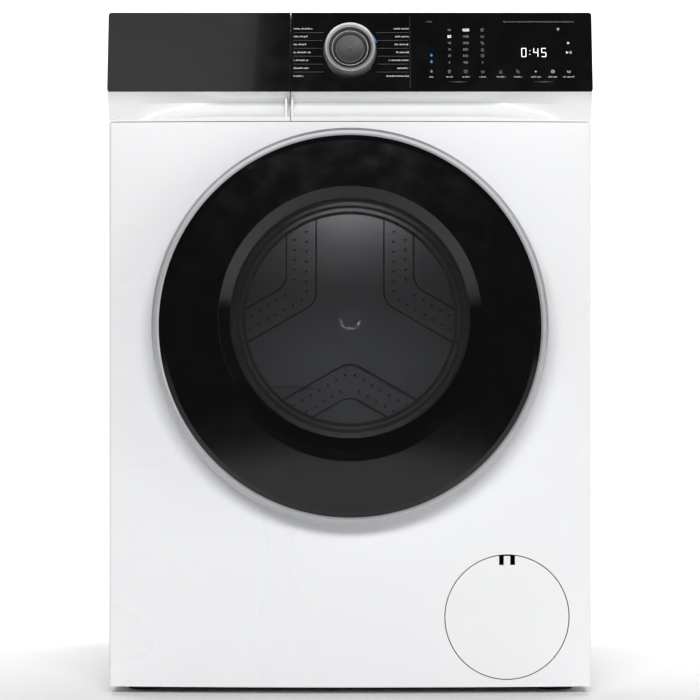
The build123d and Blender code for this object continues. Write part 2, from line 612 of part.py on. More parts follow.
def siphon_cover():
    """Lift-out cap on the middle compartment, with its siphon tube."""
    width = TRAY_X1 - TRAY_X0
    x0 = TRAY_X0 + TRAY_SPLITS[0] * width + TRAY_WALL / 2
    x1 = TRAY_X0 + TRAY_SPLITS[1] * width - TRAY_WALL / 2
    z = TRAY_Z0 + TRAY_HEIGHT
    y0, y1 = TRAY_Y1 - TRAY_WALL - 80, TRAY_Y1 - TRAY_WALL
    lid = rounded_box(x0, x1, y0, y1, z - 14, z - 12, Axis.Z, 4.2)
    skirt = block(x0 + 5, x1 - 5, y0, y0 + 2, z - 20, z)
    tube = rod_z((x0 + x1) / 2, y1 - 20, 6, TRAY_Z0 + TRAY_WALL, z - 12)
    return lid + skirt + tube


def dispenser_housing():
    """Box that the tray slides in, closed on top, with an inlet stub and an outlet spout."""
    y0 = FRAME_Y + FRAME_THICK
    box = block(HOUSING_X0, HOUSING_X1, y0, HOUSING_REAR_Y, HOUSING_Z0, HOUSING_Z1)
    w = HOUSING_WALL
    box -= block(HOUSING_X0 + w, HOUSING_X1 - w, y0 - 1, HOUSING_REAR_Y - w, HOUSING_Z0 + w, HOUSING_Z1 - w)
    box += rod_y(VALVE_X, HOUSING_Z1 - 14, 7, HOUSING_REAR_Y, HOUSING_REAR_Y + 18)
    box -= rod_y(VALVE_X, HOUSING_Z1 - 14, 5, HOUSING_REAR_Y - 5, HOUSING_REAR_Y + 20)
    box += rod_z(SPOUT_X, SPOUT_Y, SPOUT_R, HOUSING_Z0 - 14, HOUSING_Z0)
    return box - rod_z(SPOUT_X, SPOUT_Y, SPOUT_R - 2.5, HOUSING_Z0 - 15, HOUSING_Z0 + w + 1)


SPOUT_X, SPOUT_Y, SPOUT_R = -150.0, 20.0, 16.0
TUB_TOP_Z = AXIS_Z + sqrt(TUB_R**2 - SPOUT_X**2)  # tub surface under the spout
THREAD_R = 13.22  # G 3/4 male thread


def inlet_valve():
    """Water inlet valve: threaded stub through the rear panel, body and coil."""
    face = REAR_SHEET_Y - POCKET_DEPTH
    stub = ring_y(VALVE_X, VALVE_Z, THREAD_R, 8.0, face - 1, face + 15)
    body = block(VALVE_X - 20, VALVE_X + 20, face - 24, face - 1, VALVE_Z - 20, VALVE_Z + 20)
    coil = rod_z(VALVE_X, face - 14, 12, VALVE_Z - 48, VALVE_Z - 20)
    tail = rod_y(VALVE_X, VALVE_Z, 7, face - 44, face - 24)
    return body + stub + coil + tail - rod_y(VALVE_X, VALVE_Z, 5, face - 45, face - 20)


def hose(points, radii, r_out, wall):
    """Tube of constant bore along straight runs and tangent arcs."""
    path = FilletPolyline(*points, radius=radii)
    start = Plane(origin=path @ 0, z_dir=path % 0)
    return sweep(start * (Circle(r_out) - Circle(r_out - wall)), path=path)


def inlet_hose():
    """Moulded hose from the valve to the dispenser's inlet stub."""
    y0, y1 = REAR_SHEET_Y - POCKET_DEPTH - 30, HOUSING_REAR_Y + 5
    z0, z1 = VALVE_Z, HOUSING_Z1 - 14
    points = [(VALVE_X, y0, z0), (VALVE_X, y0 - 70, z0), (VALVE_X, y1 + 70, z1), (VALVE_X, y1, z1)]
    return hose(points, 60.0, 10.0, 2.9)


def dispenser_hose():
    """Short bellows from the dispenser's spout down to the tub."""
    z1, z0 = HOUSING_Z0 - 2, TUB_TOP_Z + 14.0
    body = rod_z(SPOUT_X, SPOUT_Y, SPOUT_R + 3, z0, z1)
    for i in range(3):
        z = mix(z0, z1, (i + 0.5) / 3)
        body += rod_z(SPOUT_X, SPOUT_Y, SPOUT_R + 6, z - 1.5, z + 1.5)
    return body - rod_z(SPOUT_X, SPOUT_Y, SPOUT_R + 0.05, z0 - 1, z1 + 1)


def mains_gland():
    """Strain relief of the mains lead in the rear panel."""
    collar = rod_y(GLAND_X, GLAND_Z, GLAND_R + 4, REAR_SHEET_Y, Y_REAR)
    barrel = rod_y(GLAND_X, GLAND_Z, GLAND_R, REAR_SHEET_Y - 18, REAR_SHEET_Y)
    return collar + barrel - rod_y(GLAND_X, GLAND_Z, GLAND_BORE_R, REAR_SHEET_Y - 20, Y_REAR + 1)


# ---------------------------------------------------------------- door
DOOR_BACK_Y = Y_DOOR + DOOR_THICK
COVER_R = DOOR_R - DOOR_RING_WIDTH - 0.4
COVER_THICK = 4.0
NOTCH_HALF = 19.5  # half height of the hinge notch
ARM_HALF = 18.0
EYE_R = 5.0
PIN_R = 2.5
HANDLE_ANGLE = 15.0
HANDLE_X = 213.0
HANDLE_GAP = 6.5
HANDLE_Y0 = Y_DOOR + 21.0
HANDLE_Y1 = DOOR_BACK_Y - 3.0
HANDLE_BARREL_R = 5.0  # round the lever's pin
HANDLE_BARREL_HALF = 30.0
HANDLE_PIN_R = 1.6
HANDLE_LUG = 6.0  # each lug that carries the pin
HOOK_X = 218.0
HOOK_Y = HANDLE_Y1 + 0.75
HOOK_EYE_R = 2.6
HOOK_PIN_R = 1.2
HOOK_HALF = 4.0
HOOK_TIP_Y = DOOR_BACK_Y + 27.0
BOWL_FLANGE_R = 170.0
BOWL_FLANGE_Y = Y_DOOR + 32.0
BOWL_THICK = 4.5
WINDOW_DOME_R = 5000.0
WINDOW_THICK = 3.0


def sector_y(r_in, r_out, half_angle, y0, y1, x=0.0, z=DOOR_Z, mid=0.0):
    """Ring sector between two Y planes, centred on angle mid."""
    a = radians(half_angle)
    m = radians(mid)
    far = r_out * 1.6
    wedge = [(0, 0), (far * cos(m - a), far * sin(m - a)), (far * cos(m), far * sin(m)),
             (far * cos(m + a), far * sin(m + a))]
    slab = Pos(x, y1, z) * Rot(90, 0, 0) * extrude(make_face(Polyline(*wedge, close=True)), y1 - y0)
    return slab & ring_y(x, z, r_out, r_in, y0, y1)


def hinge_notch():
    """Space that the cabinet's hinge arm sweeps inside the door."""
    return block(-DOOR_R - 2, HINGE_X + 37, Y_DOOR + 12, DOOR_BACK_Y + 4, DOOR_Z - NOTCH_HALF,
                 DOOR_Z + NOTCH_HALF)


def door_ring():
    """Silver outer ring, its side crowned, cut behind for the handle and the hinge."""
    r = DOOR_R
    profile = [(r - DOOR_RING_WIDTH, Y_DOOR + 3.5), (r - 8, Y_DOOR + 2), (r - 4.5, Y_DOOR + 3),
               (r - 1.2, Y_DOOR + 9),
               (r, Y_DOOR + 20), (r - 1.0, Y_DOOR + 34), (r - 3.0, DOOR_BACK_Y), (r - 6.0, DOOR_BACK_Y),
               (r - 6.0, Y_DOOR + 12), (r - DOOR_RING_WIDTH, Y_DOOR + 9)]
    ring = turned(profile, DOOR_Z)
    ring -= sector_y(r - 12, r + 2, HANDLE_ANGLE + 0.5, HANDLE_Y0 - HANDLE_GAP, DOOR_BACK_Y + 1)
    return ring - hinge_notch()


def door_cover():
    """Black glossy ring with an off-centre sloping rim round the window."""
    r, t = COVER_R, COVER_THICK
    outer = turned([(0, Y_DOOR), (RIM_R + 4, Y_DOOR), (r - 6, Y_DOOR + 1.6), (r, Y_DOOR + 3.6),
                    (r, Y_DOOR + 3.6 + t),
                    (0, Y_DOOR + 3.6 + t)], DOOR_Z)
    cone_out = turned([(0, Y_DOOR + 3), (RIM_R + t, Y_DOOR + 3), (WINDOW_R + t, Y_DOOR + 16),
                       (0, Y_DOOR + 16)])
    cone_in = turned([(0, Y_DOOR - 1), (RIM_R + 1, Y_DOOR - 1), (RIM_R, Y_DOOR + 0.5),
                      (WINDOW_R, Y_DOOR + 12),
                      (WINDOW_R, Y_DOOR + 17), (0, Y_DOOR + 17)])
    return outer + cone_out - cone_in


def door_window():
    """Smoked outer pane, gently domed, seated behind the sloping rim."""
    y = Y_DOOR + 12.0
    sag = WINDOW_R**2 / (2 * WINDOW_DOME_R)
    front = Pos(0, y - sag + WINDOW_DOME_R, AXIS_Z) * Sphere(WINDOW_DOME_R)
    back = Pos(0, y - sag + WINDOW_THICK + WINDOW_DOME_R, AXIS_Z) * Sphere(WINDOW_DOME_R)
    pane = rod_y(0, AXIS_Z, WINDOW_R - 0.05, y - sag, y + WINDOW_THICK)
    return (pane & front) - back


def door_bowl():
    """Pressed glass porthole bowl that reaches into the drum's mouth."""
    t = BOWL_THICK
    y = BOWL_FLANGE_Y
    outer = [(BOWL_FLANGE_R, y), (BOWL_FLANGE_R, y + t), (153, y + t), (147, y + 48), (132, y + 80),
             (108, y + 92),
             (0, y + 97)]
    inner = [(0, y + 97 - t), (106, y + 92 - t), (128, y + 78), (142.5, y + 47), (148, y + t), (148, y)]
    return turned(outer + inner)


def handle_bearings():
    """Two lugs on the door's rear shell with the handle's pin between them."""
    mid_y = (HANDLE_Y0 + HANDLE_Y1) / 2
    z0 = HANDLE_BARREL_HALF + LOOSE
    part = rod_z(HANDLE_X, mid_y, HANDLE_PIN_R, DOOR_Z - z0 - 1, DOOR_Z + z0 + 1)
    for z in (DOOR_Z - z0 - HANDLE_LUG, DOOR_Z + z0):
        part += block(HANDLE_X - 19, HANDLE_X + 4, mid_y - 4, DOOR_BACK_Y, z, z + HANDLE_LUG)
    return part


def hook_bearings():
    """Two narrow arms on the door's rear shell with the hook's pin between them."""
    z0 = HOOK_HALF + LOOSE
    part = rod_z(HOOK_X, HOOK_Y, HOOK_PIN_R, DOOR_Z - z0 - 1, DOOR_Z + z0 + 1)
    for z in (DOOR_Z - z0 - 3.5, DOOR_Z + z0):
        part += block(HANDLE_X - 15, HOOK_X + 3, HOOK_Y - 2.25, DOOR_BACK_Y, z, z + 3.5)
    return part


def door_inner_frame():
    """Rear plastic shell of the door, clamping the bowl's flange, with pockets for hinge and handle."""
    r = DOOR_R - 6.5
    y = DOOR_BACK_Y
    shell = turned([(158, y - 3), (158, y), (r, y), (r, Y_DOOR + 12), (r - 3, Y_DOOR + 12),
                    (r - 3, y - 3)], DOOR_Z)
    shell += turned([(BOWL_FLANGE_R + 0.2, BOWL_FLANGE_Y), (BOWL_FLANGE_R + 6, BOWL_FLANGE_Y),
                     (BOWL_FLANGE_R + 6, y - 2), (BOWL_FLANGE_R + 0.2, y - 2)])
    shell += ring_y(0, AXIS_Z, BOWL_FLANGE_R + 6, 155.0, BOWL_FLANGE_Y + BOWL_THICK, y)
    shell -= rod_y(0, AXIS_Z, 155.0, y - 10, y + 2)
    shell -= sector_y(HANDLE_X - 12, DOOR_R + 2, HANDLE_ANGLE + 0.5, HANDLE_Y0 - HANDLE_GAP, y + 1)
    for z in (DOOR_Z - 22, DOOR_Z + 12):
        shell += block(HINGE_X + 40, HINGE_X + 48, Y_DOOR + 16, y - 1, z, z + 10)
    shell -= block(HOOK_X - 8, HOOK_X + 10, Y_DOOR + 14, y + 1, DOOR_Z - 9, DOOR_Z + 9)
    return shell - hinge_notch() + handle_bearings() + hook_bearings()


def door_hinge():
    """Door's half of the hinge: two knuckles on a plate, with the pin through them."""
    body = None
    for side in (-1, 1):
        z0, z1 = sorted((DOOR_Z + side * NOTCH_HALF, DOOR_Z + side * (NOTCH_HALF + 14)))
        knuckle = rod_z(HINGE_X, HINGE_Y, EYE_R, z0, z1)
        leaf = block(HINGE_X, HINGE_X + 40, HINGE_Y - 1.5, HINGE_Y + 1.5, z0, z1)
        part = knuckle + leaf
        body = part if body is None else body + part
    body += rod_z(HINGE_X, HINGE_Y, PIN_R, DOOR_Z - NOTCH_HALF - 1, DOOR_Z + NOTCH_HALF + 1)
    tie = block(HINGE_X + 38, HINGE_X + 40, HINGE_Y - 1.5, HINGE_Y + 1.5, DOOR_Z - NOTCH_HALF,
                DOOR_Z + NOTCH_HALF)
    return body + tie


def hinge_bracket():
    """Cabinet's half of the hinge: a bent arm with an eye, and its plate in the dish."""
    eye = rod_z(HINGE_X, HINGE_Y, EYE_R, DOOR_Z - ARM_HALF, DOOR_Z + ARM_HALF)
    reach = block(HINGE_X, HINGE_X + 33, HINGE_Y - 3, HINGE_Y + 3, DOOR_Z - ARM_HALF, DOOR_Z + ARM_HALF)
    leg = block(HINGE_X + 27, HINGE_X + 33, HINGE_Y - 3, Y_DISH, DOOR_Z - ARM_HALF, DOOR_Z + ARM_HALF)
    plate = block(HINGE_X + 27, HINGE_X + 48, Y_DISH - 2.5, Y_DISH, DOOR_Z - 29, DOOR_Z + 29)
    bracket = eye + reach + leg + plate
    return bracket - rod_z(HINGE_X, HINGE_Y, PIN_R + RUN_FIT, DOOR_Z - 40, DOOR_Z + 40)


def door_handle():
    """Lever behind the right side of the ring, pulled forward by the fingertips."""
    mid_y = (HANDLE_Y0 + HANDLE_Y1) / 2
    lug_z = HANDLE_BARREL_HALF + HANDLE_LUG + 1
    grip = sector_y(HANDLE_X, DOOR_R - 0.3, HANDLE_ANGLE - 0.3, HANDLE_Y0, HANDLE_Y1)
    grip -= sector_y(HANDLE_X + 6, DOOR_R - 4, HANDLE_ANGLE - 2, HANDLE_Y0 + 3, HANDLE_Y1 + 1)
    for side in (-1, 1):
        z0, z1 = sorted((DOOR_Z + side * (HANDLE_BARREL_HALF - 0.5), DOOR_Z + side * lug_z))
        grip -= block(HANDLE_X - 10, HANDLE_X + 6, HANDLE_Y0 - 1, HANDLE_Y1 + 1, z0, z1)
    grip += rod_z(HANDLE_X, mid_y, HANDLE_BARREL_R, DOOR_Z - HANDLE_BARREL_HALF,
                  DOOR_Z + HANDLE_BARREL_HALF)
    grip -= rod_z(HANDLE_X, mid_y, HANDLE_PIN_R + RUN_FIT, DOOR_Z - lug_z, DOOR_Z + lug_z)
    return grip - block(HOOK_X - 7, HOOK_X + 6, HANDLE_Y1 - 3.2, HANDLE_Y1 + 1, DOOR_Z - 10, DOOR_Z + 10)


def latch_hook():
    """Hook on a pin behind the handle, which the door lock catches."""
    z0, z1 = DOOR_Z - HOOK_HALF, DOOR_Z + HOOK_HALF
    eye = rod_z(HOOK_X, HOOK_Y, HOOK_EYE_R, z0, z1)
    shank = block(HOOK_X - HOOK_EYE_R, HOOK_X + HOOK_EYE_R, HOOK_Y, HOOK_TIP_Y, z0, z1)
    barb = block(HOOK_X - HOOK_EYE_R, HOOK_X + 7, HOOK_TIP_Y - 5, HOOK_TIP_Y, z0, z1)
    hook = eye + shank + barb
    hook = chamfer(hook.edges().filter_by(Axis.Z).group_by(Axis.Y)[-1], 1.5)
    return hook - rod_z(HOOK_X, HOOK_Y, HOOK_PIN_R + RUN_FIT, z0 - 1, z1 + 1)


def door_lock():
    """Lock box behind the front panel, open towards the hook's slot."""
    y0 = front_y(LOCK_SLOT_X + LOCK_SLOT_W + 8) + SHEET + 1.0
    body = block(LOCK_SLOT_X - 6, LOCK_SLOT_X + LOCK_SLOT_W + 8, y0, y0 + 30, DOOR_Z - 36, DOOR_Z + 36)
    body -= block(LOCK_SLOT_X - 1, LOCK_SLOT_X + LOCK_SLOT_W + 3, y0 - 1, y0 + 24, DOOR_Z - 9, DOOR_Z + 9)
    return body


LIP_R = 152.0


def door_gasket():
    """Rubber bellows from the front panel's mouth to the tub's neck."""
    y0, y1 = Y_DISH - 4.0, TUB_FRONT_Y
    r = MOUTH_R - 0.3
    points = [(LIP_R, y0 + 3), (LIP_R + 3, y0), (r, y0), (r, y1), (r - 6, y1), (r - 7, y1 - 6),
              (r - 12, y1 - 9),
              (r - 12, y1 - 13), (r - 4, y1 - 17), (r - 4, y1 - 22), (r - 12, y1 - 27), (LIP_R, y0 + 9)]
    return turned(points)


# ---------------------------------------------------------------- service flap and drain
FLAP_THICK = 2.0
FLAP_HINGE_Z = FLAP_CZ - FLAP_R + 5.0
FLAP_PIN_R = 1.0
FLAP_HINGE_Y = front_y(FLAP_X) + FLAP_PIN_R
FLAP_HINGE_TURN = degrees(FLAP_X / BOW_R)  # the pin lies along the bowed surface
NOTCH_WIDTH, NOTCH_DEPTH = 19.7, 12.0
PUMP_R = 34.0
PUMP_Y0, PUMP_Y1 = FLANGE_Y + 4.0, FLANGE_Y + 110.0
CAP_R = 27.0


def service_flap():
    """Round cover of the drain filter, flush with the bowed front, notched at the top for a fingertip."""
    skin = bowed(HALF, 0, FLANGE_Y, Z_LOW, Z_SEAM - SEAM) - bowed(HALF + 1, FLAP_THICK, FLANGE_Y + 1, 0,
                                                                  Z_SEAM)
    flap = skin & rod_y(FLAP_X, FLAP_CZ, FLAP_R, Y_FRONT - 2, FLANGE_Y)
    top = FLAP_CZ + FLAP_R
    flap -= block(FLAP_X - NOTCH_WIDTH / 2, FLAP_X + NOTCH_WIDTH / 2, Y_FRONT - 2, FLANGE_Y,
                  top - NOTCH_DEPTH, top + 2)
    back = front_y(FLAP_X) + FLAP_THICK + 2.5
    flap += block(FLAP_X - 4, FLAP_X + 4, front_y(FLAP_X) + 1.0, back, top - NOTCH_DEPTH - 6, top - 1)
    pin = Rot(0, 0, FLAP_HINGE_TURN) * Rot(0, 90, 0) * Cylinder(FLAP_PIN_R, 44)
    return flap + Pos(FLAP_X, FLAP_HINGE_Y, FLAP_HINGE_Z) * pin


def drain_filter():
    """Filter cap with a grip bar and a slotted basket behind it."""
    y0 = PUMP_Y0 - 12
    cap = rod_y(FLAP_X, FLAP_CZ, CAP_R + 4, y0, y0 + 11)
    cap = chamfer(cap.edges().group_by(Axis.Y)[0], 1.5)
    grip = rounded_box(FLAP_X - 22, FLAP_X + 22, y0 - 9, y0, FLAP_CZ - 5, FLAP_CZ + 5, Axis.Y, 4.5)
    basket = ring_y(FLAP_X, FLAP_CZ, CAP_R - LOOSE, CAP_R - 3, y0 + 11, y0 + 60)
    for i in range(6):
        cut = block(FLAP_X - 3, FLAP_X + 3, y0 + 22, y0 + 54, FLAP_CZ, FLAP_CZ + CAP_R + 2)
        place = Pos(FLAP_X, 0, FLAP_CZ) * Rot(0, 60 * i, 0) * Pos(-FLAP_X, 0, -FLAP_CZ)
        basket -= place * cut
    return cap + grip + basket


SUMP_X, SUMP_Y, SUMP_R = 118.0, PUMP_Y1 - 22.0, 18.0
SUMP_Z = AXIS_Z - sqrt(TUB_R**2 - SUMP_X**2) - 14.0
DRAIN_R = 11.0
DRAIN_UP_X = HALF - SHEET - FIELD_DEPTH - DRAIN_R - 3.0
DRAIN_UP_Y = SIDE_REAR_Y - 75.0


def drain_pump():
    """Pump and filter housing with side inlet, side outlet and a motor behind."""
    body = ring_y(FLAP_X, FLAP_CZ, PUMP_R, CAP_R, PUMP_Y0, PUMP_Y1 - 30)
    body += rod_y(FLAP_X, FLAP_CZ, PUMP_R, PUMP_Y1 - 30, PUMP_Y1)
    body += rod_y(FLAP_X, FLAP_CZ, 24, PUMP_Y1, PUMP_Y1 + 42)
    body += rod_x(SUMP_Y, FLAP_CZ, SUMP_R, FLAP_X - PUMP_R - 12, FLAP_X - PUMP_R + 8)
    body += rod_x(SUMP_Y - 34, FLAP_CZ, DRAIN_R - 3, FLAP_X + PUMP_R - 4, FLAP_X + PUMP_R + 14)
    body += block(FLAP_X - 24, FLAP_X + 24, PUMP_Y0 + 20, PUMP_Y1 + 30, Z_LOW + 14, FLAP_CZ - 20)
    return body - rod_y(FLAP_X, FLAP_CZ, CAP_R, PUMP_Y0 - 1, PUMP_Y1 - 30)


def sump_hose():
    """Soft hose from the tub's sump down to the pump's inlet."""
    points = [(SUMP_X, SUMP_Y, SUMP_Z), (SUMP_X, SUMP_Y, FLAP_CZ), (FLAP_X - PUMP_R - 12, SUMP_Y, FLAP_CZ)]
    return hose(points, 26.0, SUMP_R, 3.0)


def drain_hose():
    """Hose from the pump along the floor, up the rear corner and out of the rear panel."""
    y0 = SUMP_Y - 34
    points = [(FLAP_X + PUMP_R + 14, y0, FLAP_CZ), (DRAIN_UP_X, y0, FLAP_CZ),
              (DRAIN_UP_X, DRAIN_UP_Y, FLAP_CZ),
              (DRAIN_UP_X, DRAIN_UP_Y, OUTLET_Z), (OUTLET_X, DRAIN_UP_Y, OUTLET_Z),
              (OUTLET_X, Y_REAR - 1, OUTLET_Z)]
    return hose(points, [26.0, 60.0, 60.0, 40.0], DRAIN_R, 3.0)


# ---------------------------------------------------------------- tub
TUB_JOINT_Y = TUB_FRONT_Y + 200.0
TUB_FLANGE_R = TUB_R + 7.0
NECK_R = MOUTH_R
NECK_LENGTH = 17.0
HUB_R = 32.0
BEARING_R = 24.0
BEARING_WIDTH = 15.0
WEIGHT_THICK = 34.0
WEIGHT_IN_R = 190.0
UPPER_WEIGHT_R = Z_SEAM - AXIS_Z - FLOAT - 6.0  # stays below the control panel at the top of the float
HEATER_R = 3.5
HEATER_X = 18.0
MOTOR_Y1 = PULLEY_Y - 12.0
MOTOR_Y0 = MOTOR_Y1 - 150.0
DAMPER_LUG_Z = AXIS_Z - sqrt(TUB_R**2 - DAMPER_X**2) - 14.0
DAMPER_ROD_R = 8.0
DAMPER_TUBE_R = 12.0


def tub_front():
    """Front half of the tub: wall with a neck for the gasket, and the front of the barrel."""
    y0 = TUB_FRONT_Y
    profile = [(NECK_R, y0 - NECK_LENGTH), (NECK_R + 4, y0 - NECK_LENGTH), (NECK_R + 4, y0), (TUB_R, y0),
               (TUB_R, TUB_JOINT_Y - 5), (TUB_FLANGE_R, TUB_JOINT_Y - 5), (TUB_FLANGE_R, TUB_JOINT_Y),
               (TUB_IN_R, TUB_JOINT_Y), (TUB_IN_R, y0 + TUB_WALL), (NECK_R, y0 + TUB_WALL)]
    shell = turned(profile)
    for x in (-HEATER_X, HEATER_X):
        shell -= rod_y(x, AXIS_Z - TUB_IN_R + 8, HEATER_R + 0.05, y0 - 1, y0 + 6)
    shell += rod_z(SUMP_X, SUMP_Y, SUMP_R, SUMP_Z, AXIS_Z - 200) - rod_y(0, AXIS_Z, TUB_IN_R + 1, y0,
                                                                         TUB_JOINT_Y)
    return shell - rod_z(SUMP_X, SUMP_Y, SUMP_R - 4, SUMP_Z - 1, AXIS_Z - 180)


def tub_rear():
    """Rear half of the tub: barrel, ribbed rear wall with the bearing hub, lugs for springs and dampers."""
    y1 = TUB_BACK_Y + TUB_WALL
    profile = [(TUB_FLANGE_R, TUB_JOINT_Y), (TUB_FLANGE_R, TUB_JOINT_Y + 5), (TUB_R, TUB_JOINT_Y + 5),
               (TUB_R, y1),
               (HUB_R, y1), (HUB_R, HUB_END_Y), (BEARING_R, HUB_END_Y), (BEARING_R, TUB_BACK_Y),
               (TUB_IN_R, TUB_BACK_Y), (TUB_IN_R, TUB_JOINT_Y)]
    shell = turned(profile)
    rib = block(-2, 2, y1 - 1, y1 + 18, AXIS_Z + HUB_R - 2, AXIS_Z + TUB_R - 6)
    for piece in around(rib, 12, start=15):
        shell += piece
    inside = rod_y(0, AXIS_Z, TUB_R - 1, TUB_JOINT_Y - 1, y1)
    for side in (-1, 1):
        x = side * SPRING_X
        x0, x1 = sorted((side * (TUB_R - 70), x + side * 8))
        for dy in (-15, 10):
            lug = block(x0, x1, SPRING_Y + dy, SPRING_Y + dy + 5, LUG_Z - 12, LUG_Z + 8)
            shell += lug - inside
        shell += rod_y(x, LUG_Z, SPRING_PIN_R, SPRING_Y - 15, SPRING_Y + 15)
        x = side * DAMPER_X
        for dy in (-15, 10):
            lug = block(x - 10, x + 10, DAMPER_Y + dy, DAMPER_Y + dy + 5, DAMPER_LUG_Z - 8,
                        DAMPER_LUG_Z + 26)
            shell += lug - inside
        shell += rod_y(x, DAMPER_LUG_Z, 3.0, DAMPER_Y - 15, DAMPER_Y + 15)
    for x in (MOTOR_X - 50, MOTOR_X + 44):
        lug = block(x, x + 6, MOTOR_Y0 + 20, MOTOR_Y1 - 40, MOTOR_Z + 25, AXIS_Z - 200)
        shell += lug - inside
    spout = rod_z(SPOUT_X, SPOUT_Y, SPOUT_R, TUB_TOP_Z - 20, TUB_TOP_Z + 20) - inside
    shell += spout
    return shell - rod_z(SPOUT_X, SPOUT_Y, SPOUT_R - 3, TUB_TOP_Z - 40, TUB_TOP_Z + 21)


def counterweights():
    """Concrete blocks on the tub's front wall, above and below the door lock."""
    weights = []
    for mid, half, r_out in ((90.0, 55.0, UPPER_WEIGHT_R), (272.0, 58.0, TUB_R - 4)):
        block_ring = sector_y(WEIGHT_IN_R, r_out, half, TUB_FRONT_Y - WEIGHT_THICK, TUB_FRONT_Y, 0.0,
                              AXIS_Z, mid)
        weights.append(block_ring)
    weights[1] -= block(-HEATER_X - 16, HEATER_X + 16, TUB_FRONT_Y - 40, TUB_FRONT_Y + 1, AXIS_Z - TUB_R,
                        AXIS_Z - 235)
    return weights


def heater():
    """Bent tube heater between drum and tub, with its terminal plate on the tub's front."""
    z = AXIS_Z - TUB_IN_R + 8
    y0, y1 = TUB_FRONT_Y - 12.0, TUB_FRONT_Y + 190.0
    path = Wire([Line((-HEATER_X, y0, z), (-HEATER_X, y1, z)),
                 ThreePointArc((-HEATER_X, y1, z), (0, y1 + HEATER_X, z), (HEATER_X, y1, z)),
                 Line((HEATER_X, y1, z), (HEATER_X, y0, z))])
    tube = sweep(Plane(origin=(-HEATER_X, y0, z), z_dir=(0, 1, 0)) * Circle(HEATER_R), path=path)
    plate = block(-HEATER_X - 10, HEATER_X + 10, TUB_FRONT_Y - 6, TUB_FRONT_Y, z - 7, z + 8)
    return tube + plate


def bearings():
    """Two ball bearings in the hub, each drawn as its closed ring."""
    bore = SHAFT_R + RUN_FIT
    return [ring_y(0, AXIS_Z, BEARING_R, bore, y, y + BEARING_WIDTH)
            for y in (TUB_BACK_Y + 3, HUB_END_Y - BEARING_WIDTH - 1)]


def motor_housing():
    """Drive motor under the tub: finned can with an end shield and a bored nose."""
    can = rod_y(MOTOR_X, MOTOR_Z, MOTOR_R - 14, MOTOR_Y0 + 8, MOTOR_Y1 - 8)
    fin = block(MOTOR_X - 1.5, MOTOR_X + 1.5, MOTOR_Y0 + 14, MOTOR_Y1 - 14, MOTOR_Z, MOTOR_Z + MOTOR_R - 8)
    for piece in around(fin, 20, MOTOR_X, MOTOR_Z):
        can += piece
    for y in (MOTOR_Y0, MOTOR_Y1 - 10):
        can += rod_y(MOTOR_X, MOTOR_Z, MOTOR_R - 10, y, y + 10)
        can += block(MOTOR_X - 44, MOTOR_X + 44, y, y + 10, MOTOR_Z, MOTOR_Z + 34)
    for x in (MOTOR_X - 44, MOTOR_X + 38):
        can += block(x, x + 6, MOTOR_Y0, MOTOR_Y1, MOTOR_Z + 20, MOTOR_Z + 40)
    return can - rod_y(MOTOR_X, MOTOR_Z, 5.0 + RUN_FIT, MOTOR_Y0 - 1, MOTOR_Y1 + 1)


def damper_tubes():
    """Lower halves of the two friction dampers, pinned to the base."""
    tubes = []
    for side in (-1, 1):
        x = side * DAMPER_X
        tube = rod_z(x, DAMPER_Y, DAMPER_TUBE_R, DAMPER_BASE_Z - 6, DAMPER_BASE_Z + 105)
        tube -= rod_z(x, DAMPER_Y, DAMPER_ROD_R + RUN_FIT, DAMPER_BASE_Z + 12, DAMPER_BASE_Z + 110)
        tube += rod_y(x, DAMPER_BASE_Z, 4.0, DAMPER_Y - 15.5, DAMPER_Y + 15.5)
        tubes.append(tube)
    return tubes


def damper_rods():
    """Upper halves of the dampers, hung on the tub's lugs."""
    rods = []
    for side in (-1, 1):
        x = side * DAMPER_X
        rod = rod_z(x, DAMPER_Y, DAMPER_ROD_R, DAMPER_BASE_Z + 30, DAMPER_LUG_Z + 6)
        rod -= rod_y(x, DAMPER_LUG_Z, 3.0, DAMPER_Y - 16, DAMPER_Y + 16)
        rods.append(rod)
    return rods


# ---------------------------------------------------------------- drum and drive
BAND_IN = 49.0
BAND_WIDTH = 42.0
BAND_OUT = DRUM_R - 24.0
BAND_RISE = 6.0
PADDLE_LENGTH = 250.0
PADDLE_HEIGHT = 46.0
PADDLE_WIDTH = 58.0
BOLT_R = 31.0  # hub cap in the middle of the drum's back


def band_outline():
    """Boomerang outline of one raised band, its bend towards the centre, in the plane of the back wall."""
    half = radians(60)
    reach = sqrt(BAND_OUT**2 - BAND_IN**2)
    arm = reach - BAND_IN / sin(half) * cos(half)
    tip = BAND_IN / sin(half)
    points = [(0, tip), (cos(pi / 2 - half) * arm, tip + sin(pi / 2 - half) * arm)]
    outer_tip = (BAND_IN + BAND_WIDTH) / sin(half)
    arm_out = arm - 34
    points.append((cos(pi / 2 - half) * arm_out, outer_tip + sin(pi / 2 - half) * arm_out))
    points.append((0, outer_tip))
    mirror = [(-x, y) for x, y in points[1:3]]
    outline = Polyline(points[0], points[1], points[2], points[3], mirror[1], mirror[0], close=True)
    face = make_face(outline)
    face = fillet(face.vertices(), 12.0)
    return face & Circle(BAND_OUT)


